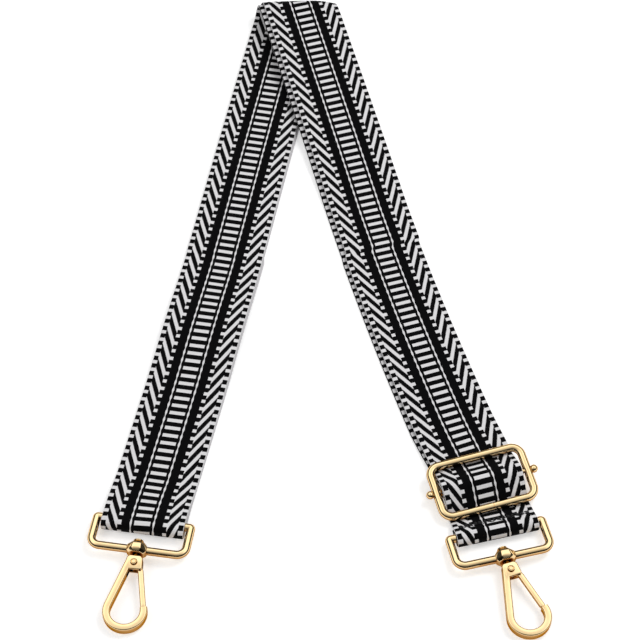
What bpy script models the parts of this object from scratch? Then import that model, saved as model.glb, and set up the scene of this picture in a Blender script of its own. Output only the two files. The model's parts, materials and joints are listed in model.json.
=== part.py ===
"""Detachable adjustable bag strap: doubled webbing, two swivel snap hooks and a slide adjuster.

Lengths are in metres. The strap lies flat, folded over once at the far end (+Y), with its
two legs reaching towards -Y. Along a leg, a distance d is measured from the fold's crest.
"""

import math

import bmesh
import bpy
from mathutils import Euler, Matrix, Vector

# Webbing
WEBBING_WIDTH = 0.038
WEBBING_THICKNESS = 0.0012
LAYER_GAP = 0.0004
LAYER_STEP = WEBBING_THICKNESS + LAYER_GAP
RETURN_SHIFT = -0.002  # the second run lies this far to the side of the first
COLUMNS = 7

# Lay of the strap
FOLD_RADIUS = 0.0062
FOLD_HALF_ANGLE = math.radians(13.16)
FOLD_TURN = math.radians(0.69)
DESCENT_ANGLE = math.radians(4.6)
DESCENT_FILLET = 0.120
FOLD_REGION = 0.172
LEFT_LEG = 0.3300  # crest to ring bar
RIGHT_LEG = 0.3161  # crest to slider bar
SLIDER_TO_RING = 0.0251
BUMP_HEIGHT = 0.0024
BUMP_CENTRE = 0.216
BUMP_REACH = 0.044
LEG_ROW = 0.016
FOLD_ROW = 0.0017
LOOP_ROW = math.radians(24)
CENTRELINE_STEP = 0.002
# The strap's sideways play in its hardware
RING_DRIFT = -0.0007
SLIDER_PLAY = 0.0005
RING_PLAY = {"left": 0, "right": -0.0005}
# Heading of each leg, outwards from the middle line, against the distance along the leg
LEFT_HEADING_SHARES = ((0, 1), (0.2, 1), (0.45, 0.962), (0.7, 1.089), (0.955, 1.1), (1, 0.8))
RIGHT_HEADING_SHARES = (
    (0, 1),
    (0.2, 1),
    (0.45, 0.96),
    (0.7, 1.134),
    (0.9, 1.27),
    (0.93, 1.4),
    (0.955, 1.105),
    (1.03, 1.105),
    (1.07, 0.9),
)

# Ring and its boss
RING_WIRE = 0.0019
RING_SIDE_ROOM = 0.0008
RING_INNER_WIDTH = WEBBING_WIDTH + 2 * RING_SIDE_ROOM
RING_REACH = 0.0154
RING_TOP_CORNER = 0.0006
RING_LOW_CORNER = 0.0042
BAR_CLEARANCE = 0.0005
LOOP_SLACK = {"left": 0.0022, "right": 0.0007}
BOSS_CROWN = 0.0036  # from the boss's centre to its end inside the ring
BOSS_FOOT = 0.0029
BOSS_HIGH_SHOULDER = 0.0012
BOSS_LOW_SHOULDER = 0.0015
BOSS_RADIUS = 0.0050
BOSS_CROWN_RADIUS = 0.0030
BOSS_FOOT_RADIUS = 0.0038
BOSS_SIDES = 8
BOSS_CENTRE_HEIGHT = 0.0047

# Swivel post
POST_RADIUS = 0.00125
POST_HEAD_RADIUS = 0.0023
POST_HEAD_HEIGHT = 0.0012
POST_HEAD_BEVEL = 0.0006
RUNNING_GAP = 0.0004
HEAD_GAP = 0.0007

# Hook
HOOK_REACH = 0.0309  # boss centre to the centre of the bow
BOW_RADIUS = 0.0083
BOW_WIDTH = 0.0034
BOW_THICKNESS = 0.0046
NOSE_ANGLE = math.radians(17)
HEAD_WIDTH = 0.0082
HEAD_LENGTH = 0.0070
HEAD_BEVEL = 0.0007
SLOT_WALL = 0.0009
SLOT_ROOF = 0.0018
PIVOT_DROP = 0.0036  # from the top of the head
TIP_HEIGHT = 0.0031  # centre of the bow above the surface
SEAT_LENGTH = 0.0034
SEAT_WIDTH = 0.0022
SEAT_DEPTH = 0.0003
BOW_SQUARENESS = 0.75

# Gate, its pin and its spring
GATE_WIDTH = 0.0026
GATE_DEPTH = 0.0022
GATE_EYE_RADIUS = 0.0018
GATE_SQUARENESS = 0.6
GATE_EYE_SHARE = 0.02
GATE_ELBOW_SIDE = 0.0034
GATE_ELBOW_DROP = 0.0030
GATE_TIP_SHARE = 0.42  # of the way round from the nose to a tip that lies clear of it
GATE_PIN_RADIUS = 0.0010
PIN_HEAD_RADIUS = 0.0016
PIN_HEAD_HEIGHT = 0.0005
PIN_HEAD_STANDOFF = 0.0003
SPRING_WIRE = 0.0003
SPRING_SIDE = 0.0026
SPRING_FOOT = 0.0018
SPRING_TOE = 0.0001

# Slide adjuster
SLIDER_WIRE = 0.0019
SLIDER_SIDE_ROOM = 0.001
SLIDER_INNER_WIDTH = WEBBING_WIDTH + 2 * SLIDER_SIDE_ROOM
SLIDER_PITCH = 0.0130  # centre bar to either frame bar
SLIDER_CORNER = 0.0046
SLIDER_BAR_RADIUS = 0.0015
SLIDER_PIN_RADIUS = 0.0010
SLIDER_BALL = 0.0019
SLIDER_BALL_STANDOFF = 0.0011
SLIDER_BALL_CENTRE = SLIDER_INNER_WIDTH / 2 + 2 * SLIDER_WIRE + SLIDER_BALL_STANDOFF
TAIL_AT_SLIDER = 0.0090
TAIL_AT_RING = 0.0062
RUN_IN = 0.024

# Sewing
THREAD_THICKNESS = 0.00035
THREAD_WIDTH = 0.0006
STITCH_LENGTH = 0.0024
STITCH_SLANT = 0.0009
SEAM_MARGIN = 0.0025
RING_SEAM = 0.0045
SLIDER_SEAM = 0.0075
THREAD_GAP = 0.0003

HOOK_HEADINGS = {"left": math.radians(8.3), "right": math.radians(16)}
SIDES = {"left": -1, "right": 1}
BASE_HEADING = {
    "left": FOLD_HALF_ANGLE - FOLD_TURN,
    "right": FOLD_HALF_ANGLE + FOLD_TURN,
}
LEG_LENGTH = {"left": LEFT_LEG, "right": RIGHT_LEG}
HEADING_SHARES = {"left": LEFT_HEADING_SHARES, "right": RIGHT_HEADING_SHARES}

OVERRUN = 0.003
ROUND_SIDES = 16
WIRE_SIDES = 12

HALF = WEBBING_THICKNESS / 2
LOOP_RADIUS = RING_WIRE + BAR_CLEARANCE + HALF
BAR_HEIGHT = HALF + LOOP_RADIUS
LOW_BAR_HEIGHT = 2 * HALF + BAR_CLEARANCE + SLIDER_WIRE
HUMP_RADIUS = SLIDER_BAR_RADIUS + 2 * BAR_CLEARANCE + 3 * HALF + LAYER_GAP / 2
WRAP_RADIUS = SLIDER_BAR_RADIUS + BAR_CLEARANCE + HALF
PASS_RADIUS = SLIDER_WIRE + BAR_CLEARANCE + HALF
SLIDER_TILT = math.radians(7.4)
SLIDER_HEIGHT = LOW_BAR_HEIGHT + SLIDER_PITCH * math.sin(SLIDER_TILT)
RING_DISTANCE = {"left": LEFT_LEG, "right": RIGHT_LEG + SLIDER_TO_RING}


def material(name, colour, roughness, metallic):
    made = bpy.data.materials.new(name)
    made.use_nodes = True
    shader = made.node_tree.nodes["Principled BSDF"]
    shader.inputs["Base Color"].default_value = (*colour, 1)
    shader.inputs["Roughness"].default_value = roughness
    shader.inputs["Metallic"].default_value = metallic
    made.diffuse_color = (*colour, 1)
    return made


def mesh_object(name, verts, faces, finish, parent, smooth=True):
    mesh = bpy.data.meshes.new(name)
    mesh.from_pydata([tuple(v) for v in verts], [], faces)
    work = bmesh.new()
    work.from_mesh(mesh)
    bmesh.ops.recalc_face_normals(work, faces=work.faces)
    if work.calc_volume(signed=True) < 0:
        bmesh.ops.reverse_faces(work, faces=work.faces)
    work.to_mesh(mesh)
    work.free()
    if smooth:
        mesh.shade_smooth()
        mesh.set_sharp_from_angle(angle=math.radians(35))
    made = bpy.data.objects.new(name, mesh)
    if finish:
        mesh.materials.append(finish)
    made.parent = parent
    bpy.context.scene.collection.objects.link(made)
    return made


def empty(name, parent, location=(0, 0, 0), rotation=(0, 0, 0)):
    made = bpy.data.objects.new(name, None)
    made.empty_display_size = WEBBING_WIDTH / 4
    made.parent = parent
    made.location = location
    made.rotation_euler = Euler(rotation)
    bpy.context.scene.collection.objects.link(made)
    return made


def cut(obj, cutter, operation="DIFFERENCE"):
    cutter.hide_render = True
    cutter.display_type = "WIRE"
    modifier = obj.modifiers.new(cutter.name, "BOOLEAN")
    modifier.operation = operation
    modifier.object = cutter
    modifier.solver = "EXACT"


def bevel(obj, width, segments=2, angle=math.radians(40)):
    modifier = obj.modifiers.new("Bevel", "BEVEL")
    modifier.width = width
    modifier.segments = segments
    modifier.limit_method = "ANGLE"
    modifier.angle_limit = angle


def cylinder(name, radius, start, end, finish, parent, sides=ROUND_SIDES):
    """A round rod between two points."""
    axis = Vector(end) - Vector(start)
    turn = Vector((0, 0, 1)).rotation_difference(axis).to_matrix()
    verts = []
    for reach in (0, axis.length):
        for i in range(sides):
            angle = 2 * math.pi * (i + 0.5) / sides
            spot = Vector((radius * math.cos(angle), radius * math.sin(angle), reach))
            verts.append(Vector(start) + turn @ spot)
    faces = [[i, (i + 1) % sides, sides + (i + 1) % sides, sides + i] for i in range(sides)]
    faces += [list(range(sides))[::-1], list(range(sides, 2 * sides))]
    return mesh_object(name, verts, faces, finish, parent)


def box(name, low, high, finish, parent):
    spots = [(x, y, z) for x in (low[0], high[0]) for y in (low[1], high[1]) for z in (low[2], high[2])]
    faces = [(0, 1, 3, 2), (4, 6, 7, 5), (0, 4, 5, 1), (2, 3, 7, 6), (0, 2, 6, 4), (1, 5, 7, 3)]
    return mesh_object(name, spots, faces, finish, parent, smooth=False)


def revolved(name, profile, start, axis, finish, parent, sides=ROUND_SIDES):
    """A turned solid: profile holds (reach along the axis, radius), its first and last radius 0."""
    turn = Vector((0, 0, 1)).rotation_difference(Vector(axis)).to_matrix()
    verts = [Vector(start) + turn @ Vector((0, 0, profile[0][0]))]
    for reach, radius in profile[1:-1]:
        for i in range(sides):
            angle = 2 * math.pi * (i + 0.5) / sides
            spot = Vector((radius * math.cos(angle), radius * math.sin(angle), reach))
            verts.append(Vector(start) + turn @ spot)
    verts.append(Vector(start) + turn @ Vector((0, 0, profile[-1][0])))
    faces = [[0, 1 + (i + 1) % sides, 1 + i] for i in range(sides)]
    for ring in range(len(profile) - 3):
        base = 1 + ring * sides
        for i in range(sides):
            j = (i + 1) % sides
            faces.append([base + i, base + j, base + sides + j, base + sides + i])
    base = 1 + (len(profile) - 3) * sides
    faces += [[base + i, base + (i + 1) % sides, len(verts) - 1] for i in range(sides)]
    return mesh_object(name, verts, faces, finish, parent)


def sweep(name, path, half_width, half_depth, finish, parent, closed=False, sides=WIRE_SIDES, power=1):
    """A wire along a path in the XY plane; half_depth is its reach in Z."""
    verts = []
    count = len(path)
    for i, (x, y) in enumerate(path):
        before = path[i - 1] if i or closed else path[0]
        after = path[(i + 1) % count] if i < count - 1 or closed else path[-1]
        along = Vector((after[0] - before[0], after[1] - before[1])).normalized()
        side = Vector((along.y, -along.x))
        to_before = (Vector((x, y)) - Vector(before)).normalized()
        mitre = 1 / max(along.dot(to_before), math.cos(math.radians(50))) if i else 1
        for j in range(sides):
            angle = 2 * math.pi * (j + 0.5) / sides
            c, s = math.cos(angle), math.sin(angle)
            reach = math.copysign(abs(c) ** power, c) * half_width * mitre
            height = math.copysign(abs(s) ** power, s) * half_depth
            verts.append((x + side.x * reach, y + side.y * reach, height))
    faces = []
    for i in range(count if closed else count - 1):
        for j in range(sides):
            k = (j + 1) % sides
            a, b = i * sides, (i + 1) % count * sides
            faces.append([a + j, a + k, b + k, b + j])
    if not closed:
        faces += [list(range(sides))[::-1], [(count - 1) * sides + j for j in range(sides)]]
    return mesh_object(name, verts, faces, finish, parent)


def arc(centre, radius, start, end, step=math.radians(20)):
    count = max(2, math.ceil(abs(end - start) / step) + 1)
    turns = [start + (end - start) * i / (count - 1) for i in range(count)]
    return [(centre[0] + radius * math.cos(t), centre[1] + radius * math.sin(t)) for t in turns]


# Lay of the strap

def heading_at(side, d):
    shares = HEADING_SHARES[side]
    place = d / LEG_LENGTH[side]
    for (p0, h0), (p1, h1) in zip(shares, shares[1:]):
        if place <= p1:
            return BASE_HEADING[side] * (h0 + (h1 - h0) * max(0, place - p0) / (p1 - p0))
    return BASE_HEADING[side] * shares[-1][1]


def leg_direction(side, heading):
    return Vector((SIDES[side] * math.sin(heading), -math.cos(heading)))


def across(side, heading):
    """The direction across a leg that points towards +X."""
    return Vector((math.cos(heading), SIDES[side] * math.sin(heading)))


def make_centreline(side):
    spots = [Vector((0, 0))]
    while (len(spots) - 1) * CENTRELINE_STEP < RING_DISTANCE[side] + 2 * SLIDER_TO_RING:
        middle = (len(spots) - 0.5) * CENTRELINE_STEP
        spots.append(spots[-1] + CENTRELINE_STEP * leg_direction(side, heading_at(side, middle)))
    return spots


CENTRELINES = {side: make_centreline(side) for side in SIDES}


def centre_at(side, d):
    if d < 0:
        return d * leg_direction(side, BASE_HEADING[side])
    index = int(d / CENTRELINE_STEP)
    share = d / CENTRELINE_STEP - index
    line = CENTRELINES[side]
    return line[index].lerp(line[index + 1], share)


def drift(side, d):
    """How far the strap's middle lies to the side of its centreline, between the slider and its ring."""
    if side == "left":
        return 0
    share = min(1, max(0, (d - RIGHT_LEG) / SLIDER_TO_RING))
    return RING_DRIFT * share * share * (3 - 2 * share)


def leg_point(side, d, u, z):
    heading = heading_at(side, max(0, d))
    spot = centre_at(side, d) + (u + drift(side, d)) * across(side, heading)
    return Vector((spot.x, spot.y, z))


def fold_profile(q, inner):
    """(y, z) at length q past the crest on a layer that lies inner below the outer one."""
    radius = FOLD_RADIUS - inner
    centre_z = HALF + FOLD_RADIUS
    turned = math.pi / 2 + DESCENT_ANGLE
    if q < -radius * math.pi / 2:
        return -FOLD_RADIUS + q + radius * math.pi / 2, HALF + inner
    if q <= radius * turned:
        return radius * math.cos(q / radius) - FOLD_RADIUS, centre_z + radius * math.sin(q / radius)
    slope_drop = FOLD_RADIUS * (1 + math.cos(DESCENT_ANGLE)) - LAYER_STEP
    slope_drop -= DESCENT_FILLET * (1 - math.cos(DESCENT_ANGLE))
    slope = slope_drop / math.sin(DESCENT_ANGLE)
    y = radius * math.cos(turned) - FOLD_RADIUS
    z = centre_z + radius * math.sin(turned)
    run = min(q - radius * turned, slope)
    y, z = y - run * math.cos(DESCENT_ANGLE), z - run * math.sin(DESCENT_ANGLE)
    fillet = DESCENT_FILLET + inner
    bend = min(max(0, q - radius * turned - slope) / fillet, DESCENT_ANGLE)
    centre = (y - fillet * math.sin(DESCENT_ANGLE), z + fillet * math.cos(DESCENT_ANGLE))
    if bend > 0:
        left = DESCENT_ANGLE - bend
        y, z = centre[0] + fillet * math.sin(left), centre[1] - fillet * math.cos(left)
    rest = max(0, q - radius * turned - slope - fillet * DESCENT_ANGLE)
    return y - rest, z


def fold_point(a, u, inner, shift):
    """Where the flat strip's point (a along, u across) lies once it is rolled over the fold."""
    p = a * math.sin(FOLD_HALF_ANGLE) + u * math.cos(FOLD_HALF_ANGLE) + shift
    q = a * math.cos(FOLD_HALF_ANGLE) - u * math.sin(FOLD_HALF_ANGLE)
    y, z = fold_profile(q, inner)
    plan = Matrix.Rotation(FOLD_TURN, 2) @ Vector((p, y))
    side = "left" if q < 0 else "right"
    way, out = leg_direction(side, BASE_HEADING[side]), across(side, BASE_HEADING[side])
    d = plan.dot(way)
    if d < LEG_LENGTH[side] * HEADING_SHARES[side][1][0]:
        return Vector((plan.x, plan.y, z))
    return leg_point(side, d, plan.dot(out), z)


def bump(side, d):
    if side == "right" or abs(d - BUMP_CENTRE) >= BUMP_REACH:
        return 0
    return BUMP_HEIGHT * math.cos(math.pi / 2 * (d - BUMP_CENTRE) / BUMP_REACH) ** 2


def tangent(first, second):
    """The straight part of a belt that leaves one circle and meets the next.

    A circle is (d, z, radius, turn): turn is 1 anticlockwise, -1 clockwise, radius 0 a point.
    """
    (x0, z0, r0, t0), (x1, z1, r1, t1) = first, second
    span = Vector((x1 - x0, z1 - z0))
    lean = math.asin((t1 * r1 - t0 * r0) / span.length)
    way = math.atan2(span.y, span.x) - lean
    out = Vector((math.sin(way), -math.cos(way)))
    return Vector((x0, z0)) + t0 * r0 * out, Vector((x1, z1)) + t1 * r1 * out


def belt(circles, row=LEG_ROW):
    """Points in the (d, z) plane along a belt that runs past each circle in turn."""
    straights = [tangent(a, b) for a, b in zip(circles, circles[1:])]
    points = [straights[0][0]]
    for i, (start, end) in enumerate(straights):
        count = max(1, math.ceil((end - start).length / row))
        points += [start.lerp(end, j / count) for j in range(1, count + 1)]
        if i + 1 < len(straights):
            x, z, radius, turn = circles[i + 1]
            if not radius:
                continue
            a0 = math.atan2(end.y - z, end.x - x)
            leave = straights[i + 1][0]
            a1 = math.atan2(leave.y - z, leave.x - x)
            while (a1 - a0) * turn < 0:
                a1 += 2 * math.pi * turn
            points += [Vector(spot) for spot in arc((x, z), radius, a0, a1, LOOP_ROW)[1:]]
    return points


def leg_rows(side, start, end, z, shift):
    count = math.ceil(abs(end - start) / LEG_ROW)
    rows = []
    for i in range(count + 1):
        d = start + (end - start) * i / count
        rows.append((side, d, z + bump(side, d), shift))
    return rows


def belt_rows(side, origin, points, shift):
    return [(side, origin + spot.x, spot.y, shift) for spot in points]


def fold_rows(inner, shift, towards):
    steps = [FOLD_REGION]
    dense = FOLD_RADIUS * math.pi / 2 + WEBBING_WIDTH / 2 * math.sin(FOLD_HALF_ANGLE) + FOLD_ROW
    while steps[-1] - LEG_ROW > dense + LEG_ROW / 2:
        steps.append(steps[-1] - LEG_ROW)
    count = math.ceil(2 * dense / FOLD_ROW)
    inside = [dense - 2 * dense * i / count for i in range(count + 1)]
    places = steps + inside + [-step for step in reversed(steps)]
    return [("fold", towards * place, inner, shift) for place in places]


def run_distance(side, inner):
    """How far along its leg a layer is when its fold region ends."""
    edge = FOLD_REGION if side == "right" else -FOLD_REGION
    spot = fold_point(edge, 0, inner, 0)
    line = CENTRELINES[side]
    nearest = min(range(len(line)), key=lambda i: (line[i] - spot.xy).length)
    way = leg_direction(side, heading_at(side, nearest * CENTRELINE_STEP))
    return nearest * CENTRELINE_STEP + (spot.xy - line[nearest]).dot(way)


def slider_circles():
    """Centres of the slider's low, middle and high bars in the (d, z) plane, from its own middle."""
    run, rise = SLIDER_PITCH * math.cos(SLIDER_TILT), SLIDER_PITCH * math.sin(SLIDER_TILT)
    low = (run, SLIDER_HEIGHT - rise)
    high = (-run, SLIDER_HEIGHT + rise)
    return low, (0, SLIDER_HEIGHT), high


def webbing_route():
    """Every row of the strip, from its sewn end at the right ring to its sewn end at the slider."""
    low, middle, high = slider_circles()
    ring = SLIDER_TO_RING + LOOP_SLACK["right"]
    upper = HALF + LAYER_STEP
    main_start = -SLIDER_PITCH - RUN_IN
    ring_end = [
        (SLIDER_TO_RING - TAIL_AT_RING, HALF, 0, 1),
        (ring, BAR_HEIGHT, LOOP_RADIUS, 1),
        (*low, PASS_RADIUS, -1),
        (*middle, HUMP_RADIUS, 1),
        (*high, PASS_RADIUS, -1),
        (main_start, upper, 0, 1),
    ]
    rows = belt_rows("right", RIGHT_LEG, belt(ring_end), 0)
    outer_right = run_distance("right", 0)
    rows += leg_rows("right", RIGHT_LEG + main_start, outer_right, upper, 0)[1:-1]
    rows += fold_rows(0, 0, 1)
    slack = LOOP_SLACK["left"]
    left_loop = LEFT_LEG + slack
    rows += leg_rows("left", run_distance("left", 0), LEFT_LEG - RUN_IN, HALF, 0)[1:]
    turn = [
        (-RUN_IN, HALF, 0, 1),
        (slack, BAR_HEIGHT, LOOP_RADIUS, 1),
        (-RUN_IN, upper, 0, 1),
    ]
    loop = belt_rows("left", LEFT_LEG, belt(turn), 0)[1:]
    last = len(loop) - 1
    for i, (side, d, z, _) in enumerate(loop):
        share = max(0, (left_loop - d) / (RUN_IN + slack)) if i > last / 2 else 0
        rows.append((side, d, z, RETURN_SHIFT * share))
    inner_left = run_distance("left", LAYER_STEP)
    rows += leg_rows("left", LEFT_LEG - RUN_IN, inner_left, upper, RETURN_SHIFT)[1:-1]
    rows += fold_rows(LAYER_STEP, RETURN_SHIFT, -1)
    inner_right = run_distance("right", LAYER_STEP)
    rows += leg_rows("right", inner_right, RIGHT_LEG + main_start, HALF, RETURN_SHIFT)[1:]
    slider_end = [
        (main_start, HALF, 0, 1),
        (0, SLIDER_HEIGHT, WRAP_RADIUS, 1),
        tail_point(),
    ]
    wrap = belt_rows("right", RIGHT_LEG, belt(slider_end), RETURN_SHIFT)[1:]
    for side, d, z, shift in wrap:
        share = min(1, max(0, (RIGHT_LEG - d) / (SLIDER_PITCH + RUN_IN)))
        rows.append((side, d, z, shift * share))
    return rows


def tail_point():
    """Where the sewn end at the slider stops, just under the run that passes over it."""
    _, middle, high = slider_circles()
    under, over = tangent((*high, PASS_RADIUS, 1), (*middle, HUMP_RADIUS, -1))
    way = (over - under).normalized()
    drop = HUMP_RADIUS - WRAP_RADIUS
    meet = over + drop * Vector((way.y, -way.x))
    spot = meet - (TAIL_AT_SLIDER - SLIDER_BAR_RADIUS) * way
    return (spot.x, spot.y, 0, 1)


def webbing_grid(columns=COLUMNS):
    grid = []
    for kind, place, height, shift in webbing_route():
        row = []
        for j in range(columns):
            u = WEBBING_WIDTH * (j / (columns - 1) - 0.5)
            if kind == "fold":
                row.append(fold_point(place, u, height, shift))
            else:
                row.append(leg_point(kind, place, u + shift, height))
        grid.append(row)
    return grid


def strip_solid(name, grid, thickness, finish, parent):
    rows, columns = len(grid), len(grid[0])
    tops, bottoms = [], []
    for i, row in enumerate(grid):
        for j, spot in enumerate(row):
            along = grid[min(i + 1, rows - 1)][j] - grid[max(i - 1, 0)][j]
            side = row[min(j + 1, columns - 1)] - row[max(j - 1, 0)]
            normal = along.cross(side).normalized()
            tops.append(spot + normal * thickness / 2)
            bottoms.append(spot - normal * thickness / 2)
    base = rows * columns
    faces = []
    for i in range(rows - 1):
        for j in range(columns - 1):
            a, b = i * columns + j, (i + 1) * columns + j
            faces.append([a, a + 1, b + 1, b])
            faces.append([base + a, base + b, base + b + 1, base + a + 1])
        for j in (0, columns - 1):
            a, b = i * columns + j, (i + 1) * columns + j
            faces.append([a, b, base + b, base + a])
    for i in (0, rows - 1):
        for j in range(columns - 1):
            a = i * columns + j
            faces.append([a, base + a, base + a + 1, a + 1])
    return mesh_object(name, tops + bottoms, faces, finish, parent)


def stitch_row(name, side, d, z, slope, u_shift, face, finish, parent):
    """A zigzag of thread that lies on the webbing's face, across the strip."""
    reach = WEBBING_WIDTH / 2 - SEAM_MARGIN
    count = round(2 * reach / STITCH_LENGTH)
    lift = face * (HALF + THREAD_GAP + THREAD_THICKNESS / 2)
    grid = []
    for i in range(count + 1):
        u = -reach + 2 * reach * i / count + u_shift
        offset = STITCH_SLANT / 2 * (1 if i % 2 else -1)
        row = []
        for edge in (-THREAD_WIDTH / 2, THREAD_WIDTH / 2):
            run = (offset + edge) * math.cos(slope) - lift * math.sin(slope)
            rise = (offset + edge) * math.sin(slope) + lift * math.cos(slope)
            row.append(leg_point(side, d + run, u, z + rise))
        grid.append(row)
    return strip_solid(name, grid, THREAD_THICKNESS, finish, parent)


def add_stitching(thread, root):
    low, middle, _ = slider_circles()
    ring = (SLIDER_TO_RING + LOOP_SLACK["right"], BAR_HEIGHT, LOOP_RADIUS, -1)
    start, end = tangent((*low, PASS_RADIUS, 1), ring)
    slope = math.atan2((end - start).y, (end - start).x)
    d = SLIDER_TO_RING - RING_SEAM
    z = start.y + (d - start.x) * math.tan(slope)
    stitch_row("ring_end_stitching", "right", RIGHT_LEG + d, z, slope, 0, 1, thread, root)
    main_start = (-SLIDER_PITCH - RUN_IN, HALF, 0, 1)
    start, end = tangent(main_start, (*middle, WRAP_RADIUS, 1))
    slope = math.atan2((end - start).y, (end - start).x)
    d = -SLIDER_SEAM
    z = start.y + (d - start.x) * math.tan(slope)
    shift = RETURN_SHIFT * SLIDER_SEAM / (SLIDER_PITCH + RUN_IN)
    name = "slider_end_stitching"
    stitch_row(name, "right", RIGHT_LEG + d, z, slope, shift, -1, thread, root)


# Hardware, each piece in its own frame: X across the strap, -Y outwards along it, Z up

def ring_path(half_width, reach, top_corner, low_corner):
    quarter = math.pi / 2
    path = arc((half_width - top_corner, -top_corner), top_corner, quarter, 0)
    path += arc((half_width - low_corner, -reach + low_corner), low_corner, 0, -quarter)
    path += arc((-half_width + low_corner, -reach + low_corner), low_corner, -quarter, -2 * quarter)
    path += arc((-half_width + top_corner, -top_corner), top_corner, 2 * quarter, quarter)
    return path


def add_ring(side, gold, parent):
    half_width = RING_INNER_WIDTH / 2 + RING_WIRE
    path = ring_path(half_width, RING_REACH, RING_TOP_CORNER, RING_LOW_CORNER)
    ring = sweep(f"{side}_ring", path, RING_WIRE, RING_WIRE, gold, parent, closed=True)
    profile = [
        (-BOSS_FOOT, 0),
        (-BOSS_FOOT, BOSS_FOOT_RADIUS),
        (-BOSS_LOW_SHOULDER, BOSS_RADIUS),
        (BOSS_HIGH_SHOULDER, BOSS_RADIUS),
        (BOSS_CROWN, BOSS_CROWN_RADIUS),
        (BOSS_CROWN, 0),
    ]
    place = (0, -RING_REACH, 0)
    boss = revolved(f"{side}_boss_blank", profile, place, (0, 1, 0), gold, parent, BOSS_SIDES)
    cut(ring, boss, "UNION")
    return ring


def head_top():
    return BOSS_FOOT + HEAD_GAP


def bow_path():
    """Centreline of the hook from the head, down one side and round to the nose."""
    start = Vector((-HEAD_WIDTH / 2 + BOW_WIDTH / 2, -head_top() - HEAD_LENGTH / 2))
    centre = Vector((0, -HOOK_REACH))
    span = centre - start
    lean = math.acos(BOW_RADIUS / span.length)
    meet = math.atan2(-span.y, -span.x) + lean
    round_part = arc(centre, BOW_RADIUS, meet, 2 * math.pi + NOSE_ANGLE, math.radians(16))
    count = 4
    first = Vector(round_part[0])
    return [tuple(start.lerp(first, i / count)) for i in range(count)] + round_part


def pivot_place():
    return Vector((0, -head_top() - PIVOT_DROP))


def gate_tip():
    angle = NOSE_ANGLE + GATE_TIP_SHARE * (BOW_WIDTH + GATE_WIDTH) / 2 / BOW_RADIUS
    return Vector((BOW_RADIUS * math.cos(angle), -HOOK_REACH + BOW_RADIUS * math.sin(angle)))


def add_hook(side, gold, parent):
    bow = sweep(
        f"{side}_hook_body",
        bow_path(),
        BOW_WIDTH / 2,
        BOW_THICKNESS / 2,
        gold,
        parent,
        power=BOW_SQUARENESS,
    )
    top, half = head_top(), HEAD_WIDTH / 2
    low = (-half, -top - HEAD_LENGTH, -BOW_THICKNESS / 2)
    head = box(f"{side}_head_blank", low, (half, -top, BOW_THICKNESS / 2), gold, parent)
    bevel(head, HEAD_BEVEL)
    cut(bow, head, "UNION")
    slot_half = GATE_DEPTH / 2 + RUNNING_GAP
    slot = box(
        f"{side}_slot_cutter",
        (-half + SLOT_WALL, -top - HEAD_LENGTH - OVERRUN, -slot_half),
        (half + OVERRUN, -top - SLOT_ROOF, slot_half),
        None,
        parent,
    )
    cut(bow, slot)
    bore = cylinder(
        f"{side}_post_cutter",
        POST_RADIUS + RUNNING_GAP,
        (0, -top - SLOT_ROOF - RUNNING_GAP, 0),
        (0, -top + OVERRUN, 0),
        None,
        parent,
    )
    cut(bow, bore)
    pivot = pivot_place()
    reach = BOW_THICKNESS / 2 + OVERRUN
    hole = cylinder(
        f"{side}_pin_cutter",
        GATE_PIN_RADIUS + RUNNING_GAP,
        (pivot.x, pivot.y, -reach),
        (pivot.x, pivot.y, reach),
        None,
        parent,
    )
    cut(bow, hole)
    inner = BOW_RADIUS - BOW_WIDTH / 2
    seat = box(
        f"{side}_seat_cutter",
        (-SEAT_LENGTH / 2, -HOOK_REACH - inner - SEAT_DEPTH, -SEAT_WIDTH / 2),
        (SEAT_LENGTH / 2, -HOOK_REACH, SEAT_WIDTH / 2),
        None,
        parent,
    )
    cut(bow, seat)
    return bow


def add_post(side, gold, parent):
    top = head_top()
    above = BOSS_CROWN + RUNNING_GAP
    profile = [
        (-top - SLOT_ROOF + RUNNING_GAP, 0),
        (-top - SLOT_ROOF + RUNNING_GAP, POST_RADIUS),
        (above, POST_RADIUS),
        (above, POST_HEAD_RADIUS),
        (above + POST_HEAD_HEIGHT - POST_HEAD_BEVEL, POST_HEAD_RADIUS),
        (above + POST_HEAD_HEIGHT, POST_HEAD_RADIUS - POST_HEAD_BEVEL),
        (above + POST_HEAD_HEIGHT, 0),
    ]
    return revolved(f"{side}_swivel_post", profile, (0, 0, 0), (0, 1, 0), gold, parent)


def add_gate(side, gold, parent):
    """The gate's frame has its origin on the pin."""
    tip = gate_tip() - pivot_place()
    elbow = Vector((GATE_ELBOW_SIDE, -GATE_ELBOW_DROP))
    arm = sweep(
        f"{side}_gate",
        [tuple(GATE_EYE_SHARE * elbow), tuple(elbow), tuple(elbow.lerp(tip, 0.5)), tuple(tip)],
        GATE_WIDTH / 2,
        GATE_DEPTH / 2,
        gold,
        parent,
        sides=8,
        power=GATE_SQUARENESS,
    )
    half = GATE_DEPTH / 2
    eye = cylinder(f"{side}_eye_blank", GATE_EYE_RADIUS, (0, 0, -half), (0, 0, half), gold, parent)
    cut(arm, eye, "UNION")
    reach = half + OVERRUN
    hole_radius = GATE_PIN_RADIUS + RUNNING_GAP
    hole = cylinder(f"{side}_eye_cutter", hole_radius, (0, 0, -reach), (0, 0, reach), None, parent)
    cut(arm, hole)
    return arm


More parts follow.
